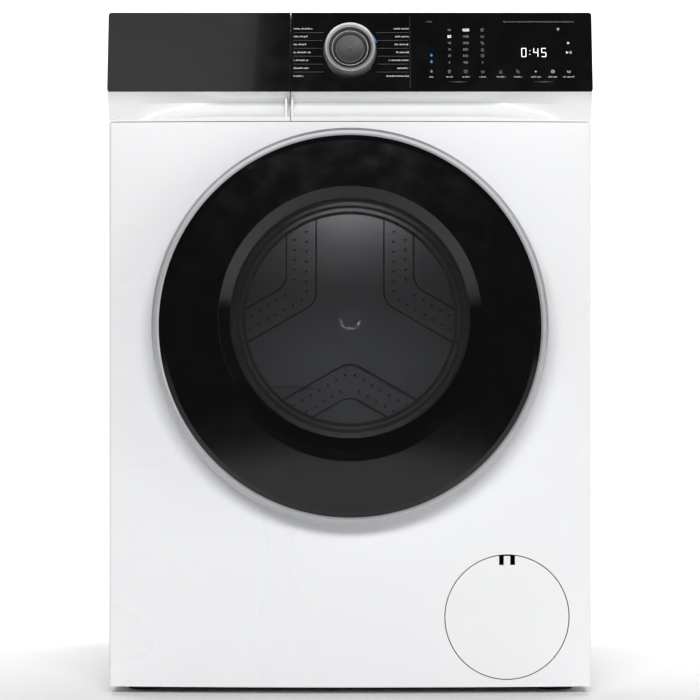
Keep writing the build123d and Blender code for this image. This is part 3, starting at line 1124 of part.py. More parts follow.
def drum():
    """Stainless drum: barrel, rolled front lip, and a back with three raised bands."""
    y0, y1 = DRUM_FRONT_Y, DRUM_BACK_Y
    t = DRUM_SHEET
    profile = [(DRUM_MOUTH_R, y0 - 6), (DRUM_MOUTH_R + t, y0 - 6), (DRUM_MOUTH_R + 4, y0), (DRUM_R, y0),
               (DRUM_R, y1), (0, y1), (0, y1 - t), (DRUM_R - t, y1 - t), (DRUM_R - t, y0 + t),
               (DRUM_MOUTH_R + 3, y0 + t), (DRUM_MOUTH_R, y0 - 5)]
    shell = turned(profile)
    outline = band_outline()
    place = Pos(0, y1 - t + 0.2, AXIS_Z) * Rot(90, 0, 0)
    for i in range(3):
        turn = Rot(0, 0, 120 * i + 30)
        shell += place * turn * extrude(outline, BAND_RISE + 0.2)
    shell += rod_y(0, AXIS_Z, BOLT_R, y1 - 5, y1)
    return shell


PADDLE_START = 30.0


def drum_paddles():
    """Three hollow lifters along the barrel."""
    y0 = DRUM_FRONT_Y + 40.0
    w = PADDLE_WIDTH / 2
    base = DRUM_R - DRUM_SHEET
    outline = [(-w, 0), (-w * 0.42, PADDLE_HEIGHT), (w * 0.42, PADDLE_HEIGHT), (w, 0)]
    face = make_face(Polyline(*outline, close=True))
    face = fillet(face.vertices().group_by(Axis.Y)[-1], 10.0)
    inner = offset(face, -2.0)
    paddle = extrude(face, PADDLE_LENGTH) - Pos(0, -3, 2) * extrude(inner, PADDLE_LENGTH - 4)
    paddle = Pos(0, y0 + PADDLE_LENGTH, AXIS_Z - base - 4) * Rot(90, 0, 0) * paddle
    paddle = paddle & rod_y(0, AXIS_Z, base - 0.02, y0 - 1, y0 + PADDLE_LENGTH + 1)
    return around(paddle, 3, start=PADDLE_START + 30)


def drum_spider():
    """Cast three-arm cross behind the drum, with the shaft."""
    y0 = DRUM_BACK_Y
    hub = rod_y(0, AXIS_Z, 44, y0, y0 + 20)
    arm = block(-14, 14, y0, y0 + 16, AXIS_Z, AXIS_Z + DRUM_R - 6)
    for piece in around(arm, 3):
        hub += piece
    return hub + rod_y(0, AXIS_Z, SHAFT_R, y0 + 18, PULLEY_Y + PULLEY_WIDTH + 4)


def pulley(x, z, radius, bore):
    """Multi-rib pulley with three spokes."""
    y0, y1 = PULLEY_Y, PULLEY_Y + PULLEY_WIDTH
    wheel = ring_y(x, z, radius, radius - 6, y0, y1)
    wheel += ring_y(x, z, bore + 14, bore, y0, y1)
    spoke = block(x - 9, x + 9, y0 + 4, y0 + 10, z + bore + 8, z + radius - 3)
    for piece in around(spoke, 6, x, z):
        wheel += piece
    return wheel


def drum_pulley():
    return pulley(0, AXIS_Z, DRUM_PULLEY_R, SHAFT_R)


def motor_pulley():
    """Motor shaft with its small pulley."""
    shaft = rod_y(MOTOR_X, MOTOR_Z, 5.0, MOTOR_Y0 + 4, PULLEY_Y)
    return shaft + rod_y(MOTOR_X, MOTOR_Z, MOTOR_PULLEY_R, PULLEY_Y - 1, PULLEY_Y + PULLEY_WIDTH)


def drive_belt():
    """Ribbed belt round both pulleys."""
    def loop(extra):
        big = Pos(0, AXIS_Z) * Circle(DRUM_PULLEY_R + extra)
        small = Pos(MOTOR_X, MOTOR_Z) * Circle(MOTOR_PULLEY_R + extra)
        return make_hull(big.edges() + small.edges())
    flat = loop(LOOSE + BELT_THICK) - loop(LOOSE)
    return Pos(0, PULLEY_Y + PULLEY_WIDTH - 1, 0) * Rot(90, 0, 0) * extrude(flat, PULLEY_WIDTH - 2)


# ---------------------------------------------------------------- writing the nodes
def main():
    os.makedirs("parts", exist_ok=True)
    white = cove()
    left = side_panel()
    save(left, "side_panel_left")
    save(mirror(left, about=Plane.YZ), "side_panel_right")
    nodes = {
        "rear_panel": rear_panel, "front_panel": front_panel, "top_cover": top_cover, "base_tray": base_tray,
        "cross_braces": cross_braces, "foot_lock_nuts": foot_lock_nuts, "transport_caps": transport_caps,
        "cabinet_screws": cabinet_screws, "panel_face": panel_face, "control_board": control_board,
        "dispenser_housing": dispenser_housing, "inlet_valve": inlet_valve, "inlet_hose": inlet_hose,
        "dispenser_hose": dispenser_hose, "mains_gland": mains_gland, "door_lock": door_lock,
        "door_gasket": door_gasket, "hinge_bracket": hinge_bracket, "drain_pump": drain_pump,
        "drain_hose": drain_hose, "sump_hose": sump_hose, "suspension_springs": suspension_springs,
        "damper_tubes": damper_tubes, "door_ring": door_ring, "door_cover": door_cover,
        "door_window": door_window, "door_bowl": door_bowl, "door_inner_frame": door_inner_frame,
        "door_hinge": door_hinge, "door_handle": door_handle, "latch_hook": latch_hook,
        "drawer_tray": drawer_tray, "siphon_cover": siphon_cover, "selector_ring": selector_ring,
        "selector_dial": selector_dial, "power_button": power_button, "service_flap": service_flap,
        "drain_filter": drain_filter, "tub_front": tub_front, "tub_rear": tub_rear,
        "counterweights": counterweights, "heater": heater, "bearings": bearings,
        "motor_housing": motor_housing, "drive_belt": drive_belt, "damper_rods": damper_rods,
        "drum": drum, "drum_paddles": drum_paddles, "drum_spider": drum_spider, "drum_pulley": drum_pulley,
        "motor_pulley": motor_pulley,
    }
    for name, make in nodes.items():
        save(make(), name)
    save(knob_bore(control_panel(white), WELL_R), "control_panel")
    save(drawer_front(white), "drawer_front")
    save(strip(-HALF, DRAWER_X), "drawer_face")
    for name, (x, y) in FOOT_SPOTS.items():
        save(foot(x, y), name)


main()
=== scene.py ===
"""Front-loading washing machine: finishes, printed panel, display and drum details on the CAD frame.

All sizes are in metres, in the model's own frame: +Z up, the front faces -Y. Places come from the frame.
"""

import bmesh
import bpy
import json
from math import atan2, cos, pi, radians, sin, sqrt
from mathutils import Matrix, Vector


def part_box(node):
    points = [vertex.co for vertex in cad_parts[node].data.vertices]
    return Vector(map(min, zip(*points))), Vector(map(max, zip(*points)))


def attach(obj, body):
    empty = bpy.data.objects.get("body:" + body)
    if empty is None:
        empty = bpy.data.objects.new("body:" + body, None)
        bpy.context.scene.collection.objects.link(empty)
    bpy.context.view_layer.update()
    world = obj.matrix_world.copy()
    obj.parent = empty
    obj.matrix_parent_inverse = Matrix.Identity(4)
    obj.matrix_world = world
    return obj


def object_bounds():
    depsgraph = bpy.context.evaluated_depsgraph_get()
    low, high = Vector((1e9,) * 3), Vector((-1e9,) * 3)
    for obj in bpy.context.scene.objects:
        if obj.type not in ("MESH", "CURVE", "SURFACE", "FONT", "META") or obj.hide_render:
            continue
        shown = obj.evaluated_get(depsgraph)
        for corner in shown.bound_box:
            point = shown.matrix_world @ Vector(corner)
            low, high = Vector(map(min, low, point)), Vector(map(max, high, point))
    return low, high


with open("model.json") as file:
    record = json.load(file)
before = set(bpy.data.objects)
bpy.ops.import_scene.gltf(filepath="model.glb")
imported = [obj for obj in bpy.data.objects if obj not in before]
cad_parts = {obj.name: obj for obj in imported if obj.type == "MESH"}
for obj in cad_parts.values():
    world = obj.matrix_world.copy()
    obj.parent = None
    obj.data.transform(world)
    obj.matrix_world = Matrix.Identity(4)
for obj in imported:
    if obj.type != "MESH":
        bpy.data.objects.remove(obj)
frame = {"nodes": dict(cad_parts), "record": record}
CAD_BOX = [list(corner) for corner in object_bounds()]
NODES = frame["nodes"]
HIGH = Vector(CAD_BOX[1])
MM = 0.001


# ---------------------------------------------------------------- node helpers
class Paint:
    """A principled material built from nodes, with the object's own coordinates."""

    def __init__(self, name, color, rough, metal=0.0, **sockets):
        self.mat = bpy.data.materials.new(name)
        self.mat.use_nodes = True
        self.tree = self.mat.node_tree
        self.bsdf = self.tree.nodes["Principled BSDF"]
        self.bsdf.inputs["Base Color"].default_value = (*color, 1.0)
        self.bsdf.inputs["Roughness"].default_value = rough
        self.bsdf.inputs["Metallic"].default_value = metal
        for key, value in sockets.items():
            self.bsdf.inputs[key.replace("_", " ")].default_value = value
        self.coords = self.node("ShaderNodeTexCoord").outputs["Object"]

    def node(self, kind, **settings):
        made = self.tree.nodes.new(kind)
        for key, value in settings.items():
            setattr(made, key, value)
        return made

    def link(self, a, b):
        self.tree.links.new(a, b)

    def noise(self, scale, detail=3.0, roughness=0.5, stretch=(1, 1, 1)):
        """Noise factor in the object's space, stretched along an axis if asked."""
        mapping = self.node("ShaderNodeMapping")
        mapping.inputs["Scale"].default_value = stretch
        texture = self.node("ShaderNodeTexNoise")
        texture.inputs["Scale"].default_value = scale
        texture.inputs["Detail"].default_value = detail
        texture.inputs["Roughness"].default_value = roughness
        self.link(self.coords, mapping.inputs["Vector"])
        self.link(mapping.outputs["Vector"], texture.inputs["Vector"])
        return texture.outputs["Fac"]

    def spread(self, fac, low, high, start=0.3, stop=0.7):
        """Maps a factor to a range."""
        ramp = self.node("ShaderNodeMapRange")
        ramp.inputs["From Min"].default_value = start
        ramp.inputs["From Max"].default_value = stop
        ramp.inputs["To Min"].default_value = low
        ramp.inputs["To Max"].default_value = high
        self.link(fac, ramp.inputs["Value"])
        return ramp.outputs["Result"]

    def vary_color(self, fac, dark, light):
        mix = self.node("ShaderNodeMix", data_type="RGBA")
        mix.inputs["A"].default_value = (*dark, 1.0)
        mix.inputs["B"].default_value = (*light, 1.0)
        self.link(fac, mix.inputs["Factor"])
        self.link(mix.outputs["Result"], self.bsdf.inputs["Base Color"])
        return self

    def vary_rough(self, fac, low, high):
        self.link(self.spread(fac, low, high), self.bsdf.inputs["Roughness"])
        return self

    def bump(self, fac, strength, distance):
        bump = self.node("ShaderNodeBump")
        bump.inputs["Strength"].default_value = strength
        bump.inputs["Distance"].default_value = distance
        self.link(fac, bump.inputs["Height"])
        self.link(bump.outputs["Normal"], self.bsdf.inputs["Normal"])
        return self


def enamel(name, color, peel=0.05, rough=0.28):
    """Powder-coated sheet: faint orange peel and a slightly uneven gloss."""
    paint = Paint(name, color, rough, Coat_Weight=0.25, Coat_Roughness=0.12)
    fine = paint.noise(420.0, 2.0)
    paint.vary_rough(paint.noise(4.0, 1.0), rough - 0.02, rough + 0.03)
    dusk = tuple(c * 0.992 for c in color)
    paint.vary_color(paint.noise(1.5, 1.0), dusk, color)
    return paint.bump(fine, peel, 0.0004).mat


def moulded(name, color, rough=0.4, grain=0.12, grain_scale=1500.0, coat=0.0):
    """Injection-moulded plastic with a fine spark-eroded grain."""
    paint = Paint(name, color, rough, Coat_Weight=coat, Coat_Roughness=0.05)
    paint.vary_rough(paint.noise(30.0), rough - 0.05, rough + 0.07)
    paint.vary_color(paint.noise(9.0), tuple(c * 0.94 for c in color), color)
    return paint.bump(paint.noise(grain_scale, 2.0), grain, 0.0002).mat


def piano_black(name):
    """Glossy black plastic with faint dust and hairlines in its polish."""
    paint = Paint(name, (0.002, 0.002, 0.0022), 0.09, Coat_Weight=0.3, Coat_Roughness=0.03, IOR=1.46)
    paint.vary_rough(paint.noise(40.0, 4.0), 0.07, 0.12)
    paint.vary_color(paint.noise(6.0), (0.0016, 0.0016, 0.0018), (0.0024, 0.0024, 0.0026))
    return paint.bump(paint.noise(60.0, 1.0), 0.02, 0.0003).mat


def brushed(name, color, rough, stretch, scale=60.0, metal=1.0, anisotropy=0.5):
    """Metal brushed along the axis whose stretch is smallest."""
    paint = Paint(name, color, rough, metal, Anisotropic=anisotropy)
    lines = paint.noise(scale, 4.0, 0.6, stretch)
    paint.vary_rough(lines, rough - 0.06, rough + 0.08)
    paint.vary_color(paint.noise(12.0), tuple(c * 0.9 for c in color), color)
    return paint.bump(lines, 0.04, 0.0001).mat


def cast(name, color, rough=0.5, metal=1.0):
    """Sand- or die-cast skin with a coarse mottle."""
    paint = Paint(name, color, rough, metal)
    grain = paint.noise(180.0, 5.0, 0.65)
    paint.vary_rough(grain, rough - 0.08, rough + 0.12)
    paint.vary_color(paint.noise(22.0), tuple(c * 0.82 for c in color), color)
    return paint.bump(grain, 0.35, 0.0006).mat


def rubber(name, color):
    paint = Paint(name, color, 0.62, Specular_IOR_Level=0.35)
    paint.vary_color(paint.noise(26.0), tuple(c * 0.82 for c in color), color)
    paint.vary_rough(paint.noise(60.0), 0.55, 0.72)
    return paint.bump(paint.noise(900.0), 0.12, 0.0002).mat


def concrete(name):
    paint = Paint(name, (0.42, 0.41, 0.39), 0.88)
    pores = paint.noise(110.0, 8.0, 0.7)
    paint.vary_color(pores, (0.30, 0.29, 0.28), (0.50, 0.49, 0.47))
    return paint.bump(pores, 0.6, 0.002).mat


def glass(name, tint, rough, haze):
    """Thin pane: tinted light passes straight through, edge-on it mirrors, and a little haze lies on it."""
    paint = Paint(name, (0.24, 0.245, 0.25), 0.6)
    paint.vary_rough(paint.noise(25.0), 0.55, 0.65)
    passing = paint.node("ShaderNodeBsdfTransparent")
    passing.inputs["Color"].default_value = (*tint, 1.0)
    mirror = paint.node("ShaderNodeBsdfAnisotropic")
    mirror.inputs["Color"].default_value = (0.9, 0.9, 0.9, 1.0)
    mirror.inputs["Roughness"].default_value = rough
    fresnel = paint.node("ShaderNodeFresnel")
    fresnel.inputs["IOR"].default_value = 1.45
    pane = paint.node("ShaderNodeMixShader")
    paint.link(fresnel.outputs["Fac"], pane.inputs[0])
    paint.link(passing.outputs["BSDF"], pane.inputs[1])
    paint.link(mirror.outputs["BSDF"], pane.inputs[2])
    hazed = paint.node("ShaderNodeMixShader")
    paint.link(paint.spread(paint.noise(6.0), haze * 0.8, haze * 1.2), hazed.inputs[0])
    paint.link(pane.outputs["Shader"], hazed.inputs[1])
    paint.link(paint.bsdf.outputs["BSDF"], hazed.inputs[2])
    paint.link(hazed.outputs["Shader"], paint.tree.nodes["Material Output"].inputs["Surface"])
    return paint.mat


def glow(name, color, strength, base=(0.5, 0.5, 0.5)):
    """Printed ink or a lit segment: emission, slightly uneven; on a lit segment it is the display's own
    light, on printed ink it is painted light that brightens the print.
    """
    paint = Paint(name, base, 0.5, Emission_Color=(*color, 1.0), Emission_Strength=strength)
    paint.vary_rough(paint.noise(500.0), 0.45, 0.6)
    return paint.mat


def finishes():
    """Every finish of the machine, by name."""
    steel = (0.56, 0.57, 0.58)
    return {
        "white_steel": enamel("white_steel", (0.86, 0.865, 0.875)),
        "white_plastic": enamel("white_plastic", (0.86, 0.865, 0.87), 0.02, 0.24),
        "white_board": enamel("white_board", (0.85, 0.85, 0.855), 0.10, 0.36),
        "black_gloss": piano_black("black_gloss"),
        "dark_plastic": moulded("dark_plastic", (0.022, 0.022, 0.024), 0.42),
        "grey_plastic": moulded("grey_plastic", (0.30, 0.31, 0.33), 0.45),
        "blue_plastic": moulded("blue_plastic", (0.03, 0.14, 0.42), 0.35),
        "light_plastic": moulded("light_plastic", (0.62, 0.63, 0.64), 0.35),
        "valve_plastic": moulded("valve_plastic", (0.68, 0.68, 0.64), 0.4),
        "tub_plastic": moulded("tub_plastic", (0.40, 0.41, 0.42), 0.55, 0.2, 700.0),
        "circuit_board": moulded("circuit_board", (0.01, 0.10, 0.04), 0.35),
        "silver_plastic": brushed("silver_plastic", (0.50, 0.51, 0.53), 0.42, (1, 0.08, 1), 90.0, 0.55,
                                  0.0),
        "zinc_steel": brushed("zinc_steel", steel, 0.34, (1, 0.2, 1)),
        "stainless": brushed("stainless", (0.50, 0.50, 0.51), 0.34, (1, 0.05, 1), 900.0, 1.0, 0.3),
        "cast_alloy": cast("cast_alloy", (0.60, 0.61, 0.62)),
        "motor_metal": cast("motor_metal", (0.06, 0.06, 0.065), 0.5, 0.4),
        "concrete": concrete("concrete"),
        "grey_rubber": rubber("grey_rubber", (0.20, 0.205, 0.215)),
        "black_rubber": rubber("black_rubber", (0.02, 0.02, 0.021)),
        "grey_hose": moulded("grey_hose", (0.26, 0.27, 0.28), 0.4),
        "smoked_glass": glass("smoked_glass", (0.66, 0.66, 0.67), 0.05, 0.03),
        "clear_glass": glass("clear_glass", (0.92, 0.93, 0.93), 0.06, 0.025),
    }


FINISH = finishes()


def paint_nodes():
    """Each CAD node takes the finish of its own slot."""
    for entry in frame["record"]["subparts"]:
        node = NODES[entry["node"]]
        node.data.materials.clear()
        node.data.materials.append(FINISH[entry["material_slot"]])


paint_nodes()


# ---------------------------------------------------------------- places worked out from the frame
def middle(node):
    low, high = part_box(node)
    return (Vector(low) + Vector(high)) / 2


AXIS_Z = middle("door_window").z
FACE_LOW = Vector(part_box("panel_face")[0])
FACE_HIGH = Vector(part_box("panel_face")[1])
STRIP_LOW_PROUD, STRIP_TOP_PROUD = 23.5 * MM, 3.0 * MM
EDGE_Y = FACE_LOW.y + STRIP_LOW_PROUD
STRIP_TILT = atan2(STRIP_LOW_PROUD - STRIP_TOP_PROUD, FACE_HIGH.z - FACE_LOW.z)
DRUM_LOW, DRUM_HIGH = (Vector(c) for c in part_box("drum"))
DRUM_BACK_Y = DRUM_HIGH.y - 1.0 * MM


def on_strip(x, z, lift=0.05 * MM):
    """Matrix of a spot on the black strip, its z axis square to the strip and its y axis up along it."""
    t = (z - FACE_LOW.z) / (FACE_HIGH.z - FACE_LOW.z)
    proud = STRIP_LOW_PROUD + (STRIP_TOP_PROUD - STRIP_LOW_PROUD) * t
    turn = Matrix.Rotation(pi / 2 - STRIP_TILT, 4, "X")
    return Matrix.Translation((x, EDGE_Y - proud, z)) @ turn @ Matrix.Translation((0, 0, lift))


# ---------------------------------------------------------------- mesh helpers
def add_piece(name, build, material, body, place=Matrix.Identity(4)):
    """Makes a mesh object from a bmesh-building function and lets it ride on a body."""
    bm = bmesh.new()
    build(bm)
    mesh = bpy.data.meshes.new(name)
    bm.to_mesh(mesh)
    bm.free()
    mesh.transform(place)
    mesh.materials.append(FINISH[material] if isinstance(material, str) else material)
    piece = bpy.data.objects.new(name, mesh)
    bpy.context.scene.collection.objects.link(piece)
    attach(piece, body)
    return piece


def slab(bm, outline, thick=0.12 * MM):
    """Thin printed patch from a flat outline of (x, y) points."""
    low = [bm.verts.new((x, y, 0)) for x, y in outline]
    high = [bm.verts.new((x, y, thick)) for x, y in outline]
    bm.faces.new(list(reversed(low)))
    bm.faces.new(high)
    count = len(outline)
    for i in range(count):
        j = (i + 1) % count
        bm.faces.new((low[i], low[j], high[j], high[i]))


def bar(bm, x0, x1, y0, y1):
    slab(bm, [(x0, y0), (x1, y0), (x1, y1), (x0, y1)])


def arc_points(x, y, r, start, stop, count):
    angles = [start + (stop - start) * i / count for i in range(count + 1)]
    return [(x + r * cos(angle), y + r * sin(angle)) for angle in angles]


def arc_band(bm, x, y, r_out, r_in, start=0.0, stop=2 * pi, count=24):
    """Flat ring or part of one, as short slabs."""
    outer = arc_points(x, y, r_out, start, stop, count)
    inner = arc_points(x, y, r_in, start, stop, count)
    for i in range(count):
        slab(bm, [inner[i], outer[i], outer[i + 1], inner[i + 1]])


SEGMENTS = {
    "0": "abcdef", "1": "bc", "2": "abged", "3": "abgcd", "4": "fgbc",
    "5": "afgcd", "6": "afgedc", "7": "abc", "8": "abcdefg", "9": "abcdfg",
}


def digit(bm, char, x, y, high, stroke):
    """Seven-segment digit with its lower left corner at x, y."""
    wide = high * 0.52
    half = stroke / 2
    mid = y + high / 2
    spots = {
        "a": (x + half, x + wide - half, y + high - stroke, y + high),
        "g": (x + half, x + wide - half, mid - half, mid + half),
        "d": (x + half, x + wide - half, y, y + stroke),
        "f": (x, x + stroke, mid, y + high - half),
        "b": (x + wide - stroke, x + wide, mid, y + high - half),
        "e": (x, x + stroke, y + half, mid),
        "c": (x + wide - stroke, x + wide, y + half, mid),
    }
    for key in SEGMENTS[char]:
        bar(bm, *spots[key])


def number(bm, text, x, y, high, stroke, centred=True):
    """Row of digits, centred on x by default."""
    step = high * 0.74
    start = x - (len(text) * step - high * 0.22) / 2 if centred else x
    for i, char in enumerate(text):
        digit(bm, char, start + i * step, y - high / 2, high, stroke)


# ---------------------------------------------------------------- printing on the black strip
# INK and DIM_INK give printed labels, rules and unlit figures a glow of painted light; LIT and BLUE_LIT are
# the display's own lit segments.
INK = glow("ink", (0.85, 0.88, 0.92), 0.42, (0.55, 0.55, 0.56))
DIM_INK = glow("dim_ink", (0.6, 0.62, 0.65), 0.10, (0.16, 0.16, 0.17))
LIT = glow("lit_segment", (0.92, 0.96, 1.0), 1.1, (0.8, 0.8, 0.8))
BLUE_LIT = glow("blue_segment", (0.04, 0.26, 0.62), 0.45, (0.02, 0.10, 0.22))

ROW_TOP_Z = 824.6 * MM
ROW_STEP = 10.0 * MM
ROWS = 7
LABEL_LEFT_X, LABEL_RIGHT_X = -69.5 * MM, 72.0 * MM
LETTER_HIGH = 1.9 * MM
STROKE = 0.42 * MM
OPTION_ROWS_Z = [822.8 * MM, 814.6 * MM, 806.3 * MM, 798.2 * MM, 790.2 * MM, 781.8 * MM]
KEY_ICON_Z, KEY_TEXT_Z, KEY_NOTE_Z = 770.2 * MM, 763.6 * MM, 757.4 * MM
KEY_XS = [x * MM for x in (100.5, 122.8, 142.6, 163.6, 185.8, 206.8, 229.0, 250.0, 269.8)]
WATER_X, TEMP_X, SPIN_X, ICON_X = KEY_XS[:4]
DIGITS_X, DIGITS_Z, DIGITS_HIGH = 227.6 * MM, 794.3 * MM, 11.6 * MM
DIVISION_X = 74.0 * MM


def greek(bm, x, y, length, high=LETTER_HIGH, seed=1):
    """Row of wordless letter-like strokes, for a label without words."""
    at, i = x, seed
    while at < x + length:
        wide = high * (0.42 + 0.30 * abs(sin(i * 2.3)))
        tall = high if i % 4 == 0 else high * 0.72
        thin = high * 0.20
        shape = i % 5
        bar(bm, at, at + thin, y - high / 2, y - high / 2 + tall)
        if shape in (0, 2, 3):
            bar(bm, at + thin, at + wide, y - high / 2 + tall * 0.8, y - high / 2 + tall)
        if shape in (0, 1, 3):
            bar(bm, at + thin, at + wide, y - high / 2, y - high / 2 + tall * 0.2)
        if shape in (0, 2, 4):
            bar(bm, at + wide - thin, at + wide, y - high / 2 + tall * 0.2, y - high / 2 + tall * 0.8)
        at += wide + high * 0.26
        i += 1
        if i % 7 == 0:
            at += high * 0.45


def strip_patch(name, x, z, build, material, body="root"):
    """Printed patch centred on a spot of the black strip."""
    return add_piece(name, build, material, body, on_strip(x, z))


def programme_labels():
    """Two columns of wordless labels with thin rules between, left and right of the selector."""
    lengths_left = [22, 17, 15, 20, 18, 19, 11]
    lengths_right = [18, 16, 17, 15, 24, 14, 27]

    for row in range(ROWS):
        z = ROW_TOP_Z - row * ROW_STEP
        left, right = lengths_left[row] * MM, lengths_right[row] * MM

        def left_text(bm):
            greek(bm, 0, 0, left, seed=row + 2)

        def right_text(bm):
            greek(bm, -right, 0, right, seed=row + 9)

        strip_patch(f"label_left_{row}", LABEL_LEFT_X, z, left_text, INK)
        strip_patch(f"label_right_{row}", LABEL_RIGHT_X, z, right_text, INK)
        if row < ROWS - 1:
            away = abs(3 - row - 0.5) * 1.0 * MM
            for side, x0 in ((-1, LABEL_LEFT_X), (1, LABEL_RIGHT_X)):
                inner = side * (35.0 * MM - away)

                def rule(bm):
                    a, b = sorted((0.0, inner - x0))
                    bar(bm, a, b, -0.09 * MM, 0.09 * MM)

                tag = "r" if side > 0 else "l"
                strip_patch(f"label_rule_{row}_{tag}", x0, z - ROW_STEP / 2, rule, DIM_INK)


def drop(bm, r):
    points = [(0, 1.7 * r)] + arc_points(0, 0, r, radians(35), radians(-215), 14)
    slab(bm, points)


def triangle(bm, x, size):
    slab(bm, [(x - size * 0.45, -size * 0.6), (x + size * 0.6, 0), (x - size * 0.45, size * 0.6)])


def icon_wifi(bm):
    arc_band(bm, 0, 0, 0.6 * MM, 0.0001 * MM, 0, 2 * pi, 10)
    for k in (1.5, 2.6):
        arc_band(bm, 0, 0, k * MM, (k - 0.45) * MM, radians(45), radians(135), 8)


def icon_square(bm):
    arc_band(bm, 0, 0, 1.5 * MM, 1.1 * MM, 0, 2 * pi, 18)
    bar(bm, -2.1 * MM, 2.1 * MM, -2.2 * MM, -1.8 * MM)


def icon_spiral(bm):
    for k in range(3):
        start, stop = radians(40 * k), radians(300 + 20 * k)
        arc_band(bm, 0, 0, (2.2 - 0.7 * k) * MM, (1.85 - 0.7 * k) * MM, start, stop, 16)


def icon_tub(bm):
    slab(bm, [(-2.0 * MM, 1.3 * MM), (-1.5 * MM, -1.5 * MM), (-1.1 * MM, -1.5 * MM), (-1.6 * MM, 1.3 * MM)])
    slab(bm, [(1.6 * MM, 1.3 * MM), (1.1 * MM, -1.5 * MM), (1.5 * MM, -1.5 * MM), (2.0 * MM, 1.3 * MM)])
    bar(bm, -1.3 * MM, 1.3 * MM, -1.6 * MM, -1.2 * MM)
    bar(bm, -1.4 * MM, 1.4 * MM, 0.2 * MM, 0.5 * MM)


def icon_clock(bm):
    arc_band(bm, 0, 0, 2.1 * MM, 1.7 * MM, 0, 2 * pi, 24)
    bar(bm, -0.18 * MM, 0.18 * MM, 0, 1.3 * MM)
    bar(bm, 0, 1.0 * MM, -0.18 * MM, 0.18 * MM)


def icon_plus(bm):
    bar(bm, -1.5 * MM, 1.5 * MM, -0.2 * MM, 0.2 * MM)
    bar(bm, -0.2 * MM, 0.2 * MM, 0.2 * MM, 1.5 * MM)
    bar(bm, -0.2 * MM, 0.2 * MM, -1.5 * MM, -0.2 * MM)


def icon_waves(bm):
    for k in range(3):
        y = (1.3 - 1.2 * k) * MM
        arc_band(bm, -1.0 * MM, y, 1.0 * MM, 0.65 * MM, 0, pi, 8)
        arc_band(bm, 1.0 * MM, y - 0.2 * MM, 1.0 * MM, 0.65 * MM, pi, 2 * pi, 8)


def option_columns():
    """Temperature and spin figures, with the chosen row lit, and a column of small signs."""
    temps = ["90", "60", "40", "30", "20", "0"]
    spins = ["1600", "1400", "1000", "800", "600", "400"]
    signs = [icon_spiral, icon_tub, icon_waves, icon_square, icon_clock, icon_plus]
    for i, z in enumerate(OPTION_ROWS_Z):
        high = 2.9 * MM if i else 3.3 * MM

        def temp(bm):
            number(bm, temps[i], 0, 0, 3.2 * MM if i == 1 else 2.7 * MM, STROKE)

        def turns(bm):
            number(bm, spins[i], 0, 0, high, STROKE)

        strip_patch(f"temperature_{temps[i]}", TEMP_X, z, temp, LIT if i == 1 else DIM_INK)
        strip_patch(f"spin_{spins[i]}", SPIN_X, z, turns, LIT if i == 0 else DIM_INK)
        strip_patch(f"option_sign_{i}", ICON_X, z, signs[i], DIM_INK)


def key_row():
    """Row of touch keys: a sign above a wordless label."""
    signs = [icon_waves, icon_spiral, icon_clock, icon_tub, icon_square, icon_waves, icon_plus,
             icon_clock, icon_tub]
    widths = [5, 8, 8, 8, 10, 9, 12, 11, 14]
    for i, x in enumerate(KEY_XS):
        wide = widths[i] * MM

        def text(bm):
            greek(bm, -wide / 2, 0, wide, 1.5 * MM, i + 3)

        strip_patch(f"key_label_{i}", x, KEY_TEXT_Z, text, INK)
        if i:
            strip_patch(f"key_sign_{i}", x, KEY_ICON_Z, signs[i], DIM_INK if i < 6 else INK)
    for x, wide in ((132.7 * MM, 12 * MM), (238.9 * MM, 13 * MM)):

        def note(bm):
            greek(bm, -wide / 2, 0, wide, 1.3 * MM, 5)
            bar(bm, -wide / 2 - 5 * MM, -wide / 2 - 1.5 * MM, -0.08 * MM, 0.08 * MM)
            bar(bm, wide / 2 + 1.5 * MM, wide / 2 + 5 * MM, -0.08 * MM, 0.08 * MM)

        strip_patch(f"key_note_{int(x / MM)}", x, KEY_NOTE_Z, note, DIM_INK)


def display():
    """Remaining time, water drops, start signs and the dim line of small figures."""
    def clock(bm):
        high = DIGITS_HIGH
        for char, x in (("0", -16.0 * MM), ("4", -1.2 * MM), ("5", 8.6 * MM)):
            digit(bm, char, x, -high / 2, high, 0.85 * MM)
        for y in (-2.3 * MM, 2.3 * MM):
            arc_band(bm, -5.6 * MM, y, 0.62 * MM, 0.0001 * MM, 0, 2 * pi, 10)

    def drops(bm):
        drop(bm, 1.5 * MM)

    def start(bm):
        triangle(bm, 0, 3.0 * MM)

    def pause(bm):
        triangle(bm, -1.6 * MM, 3.0 * MM)
        for x in (1.6 * MM, 3.0 * MM):
            bar(bm, x, x + 0.6 * MM, -1.7 * MM, 1.7 * MM)

    def small_line(bm):
        greek(bm, 0, 0, 86 * MM, 1.7 * MM, 4)

    def small_mark(bm):
        greek(bm, -3 * MM, 0, 7 * MM, 1.6 * MM, 6)

    strip_patch("time_left", DIGITS_X, DIGITS_Z, clock, LIT)
    for i, z in enumerate((790.6 * MM, 782.4 * MM, KEY_ICON_Z)):
        strip_patch(f"water_drop_{i}", WATER_X, z, drops, BLUE_LIT)
    strip_patch("link_sign", 257.4 * MM, 822.6 * MM, icon_wifi, INK)
    strip_patch("start_sign", 269.8 * MM, 806.3 * MM, start, INK)
    strip_patch("pause_sign", 269.8 * MM, 794.3 * MM, pause, INK)
    strip_patch("figures_line", 190.0 * MM, 833.4 * MM, small_line, DIM_INK)
    strip_patch("corner_mark", 97.0 * MM, 833.6 * MM, small_mark, DIM_INK)

    def division(bm):
        bar(bm, -0.15 * MM, 0.15 * MM, -46 * MM, 46 * MM)

    strip_patch("display_edge", DIVISION_X, middle("panel_face").z, division, "dark_plastic")


KNOB_RING_R = 31.2 * MM
KNOB_Z = HIGH.z - 48.0 * MM
BUTTON_TOP = 6.35 * MM  # above the strip, square to it
RING_LINE_LIFT = 9.15 * MM


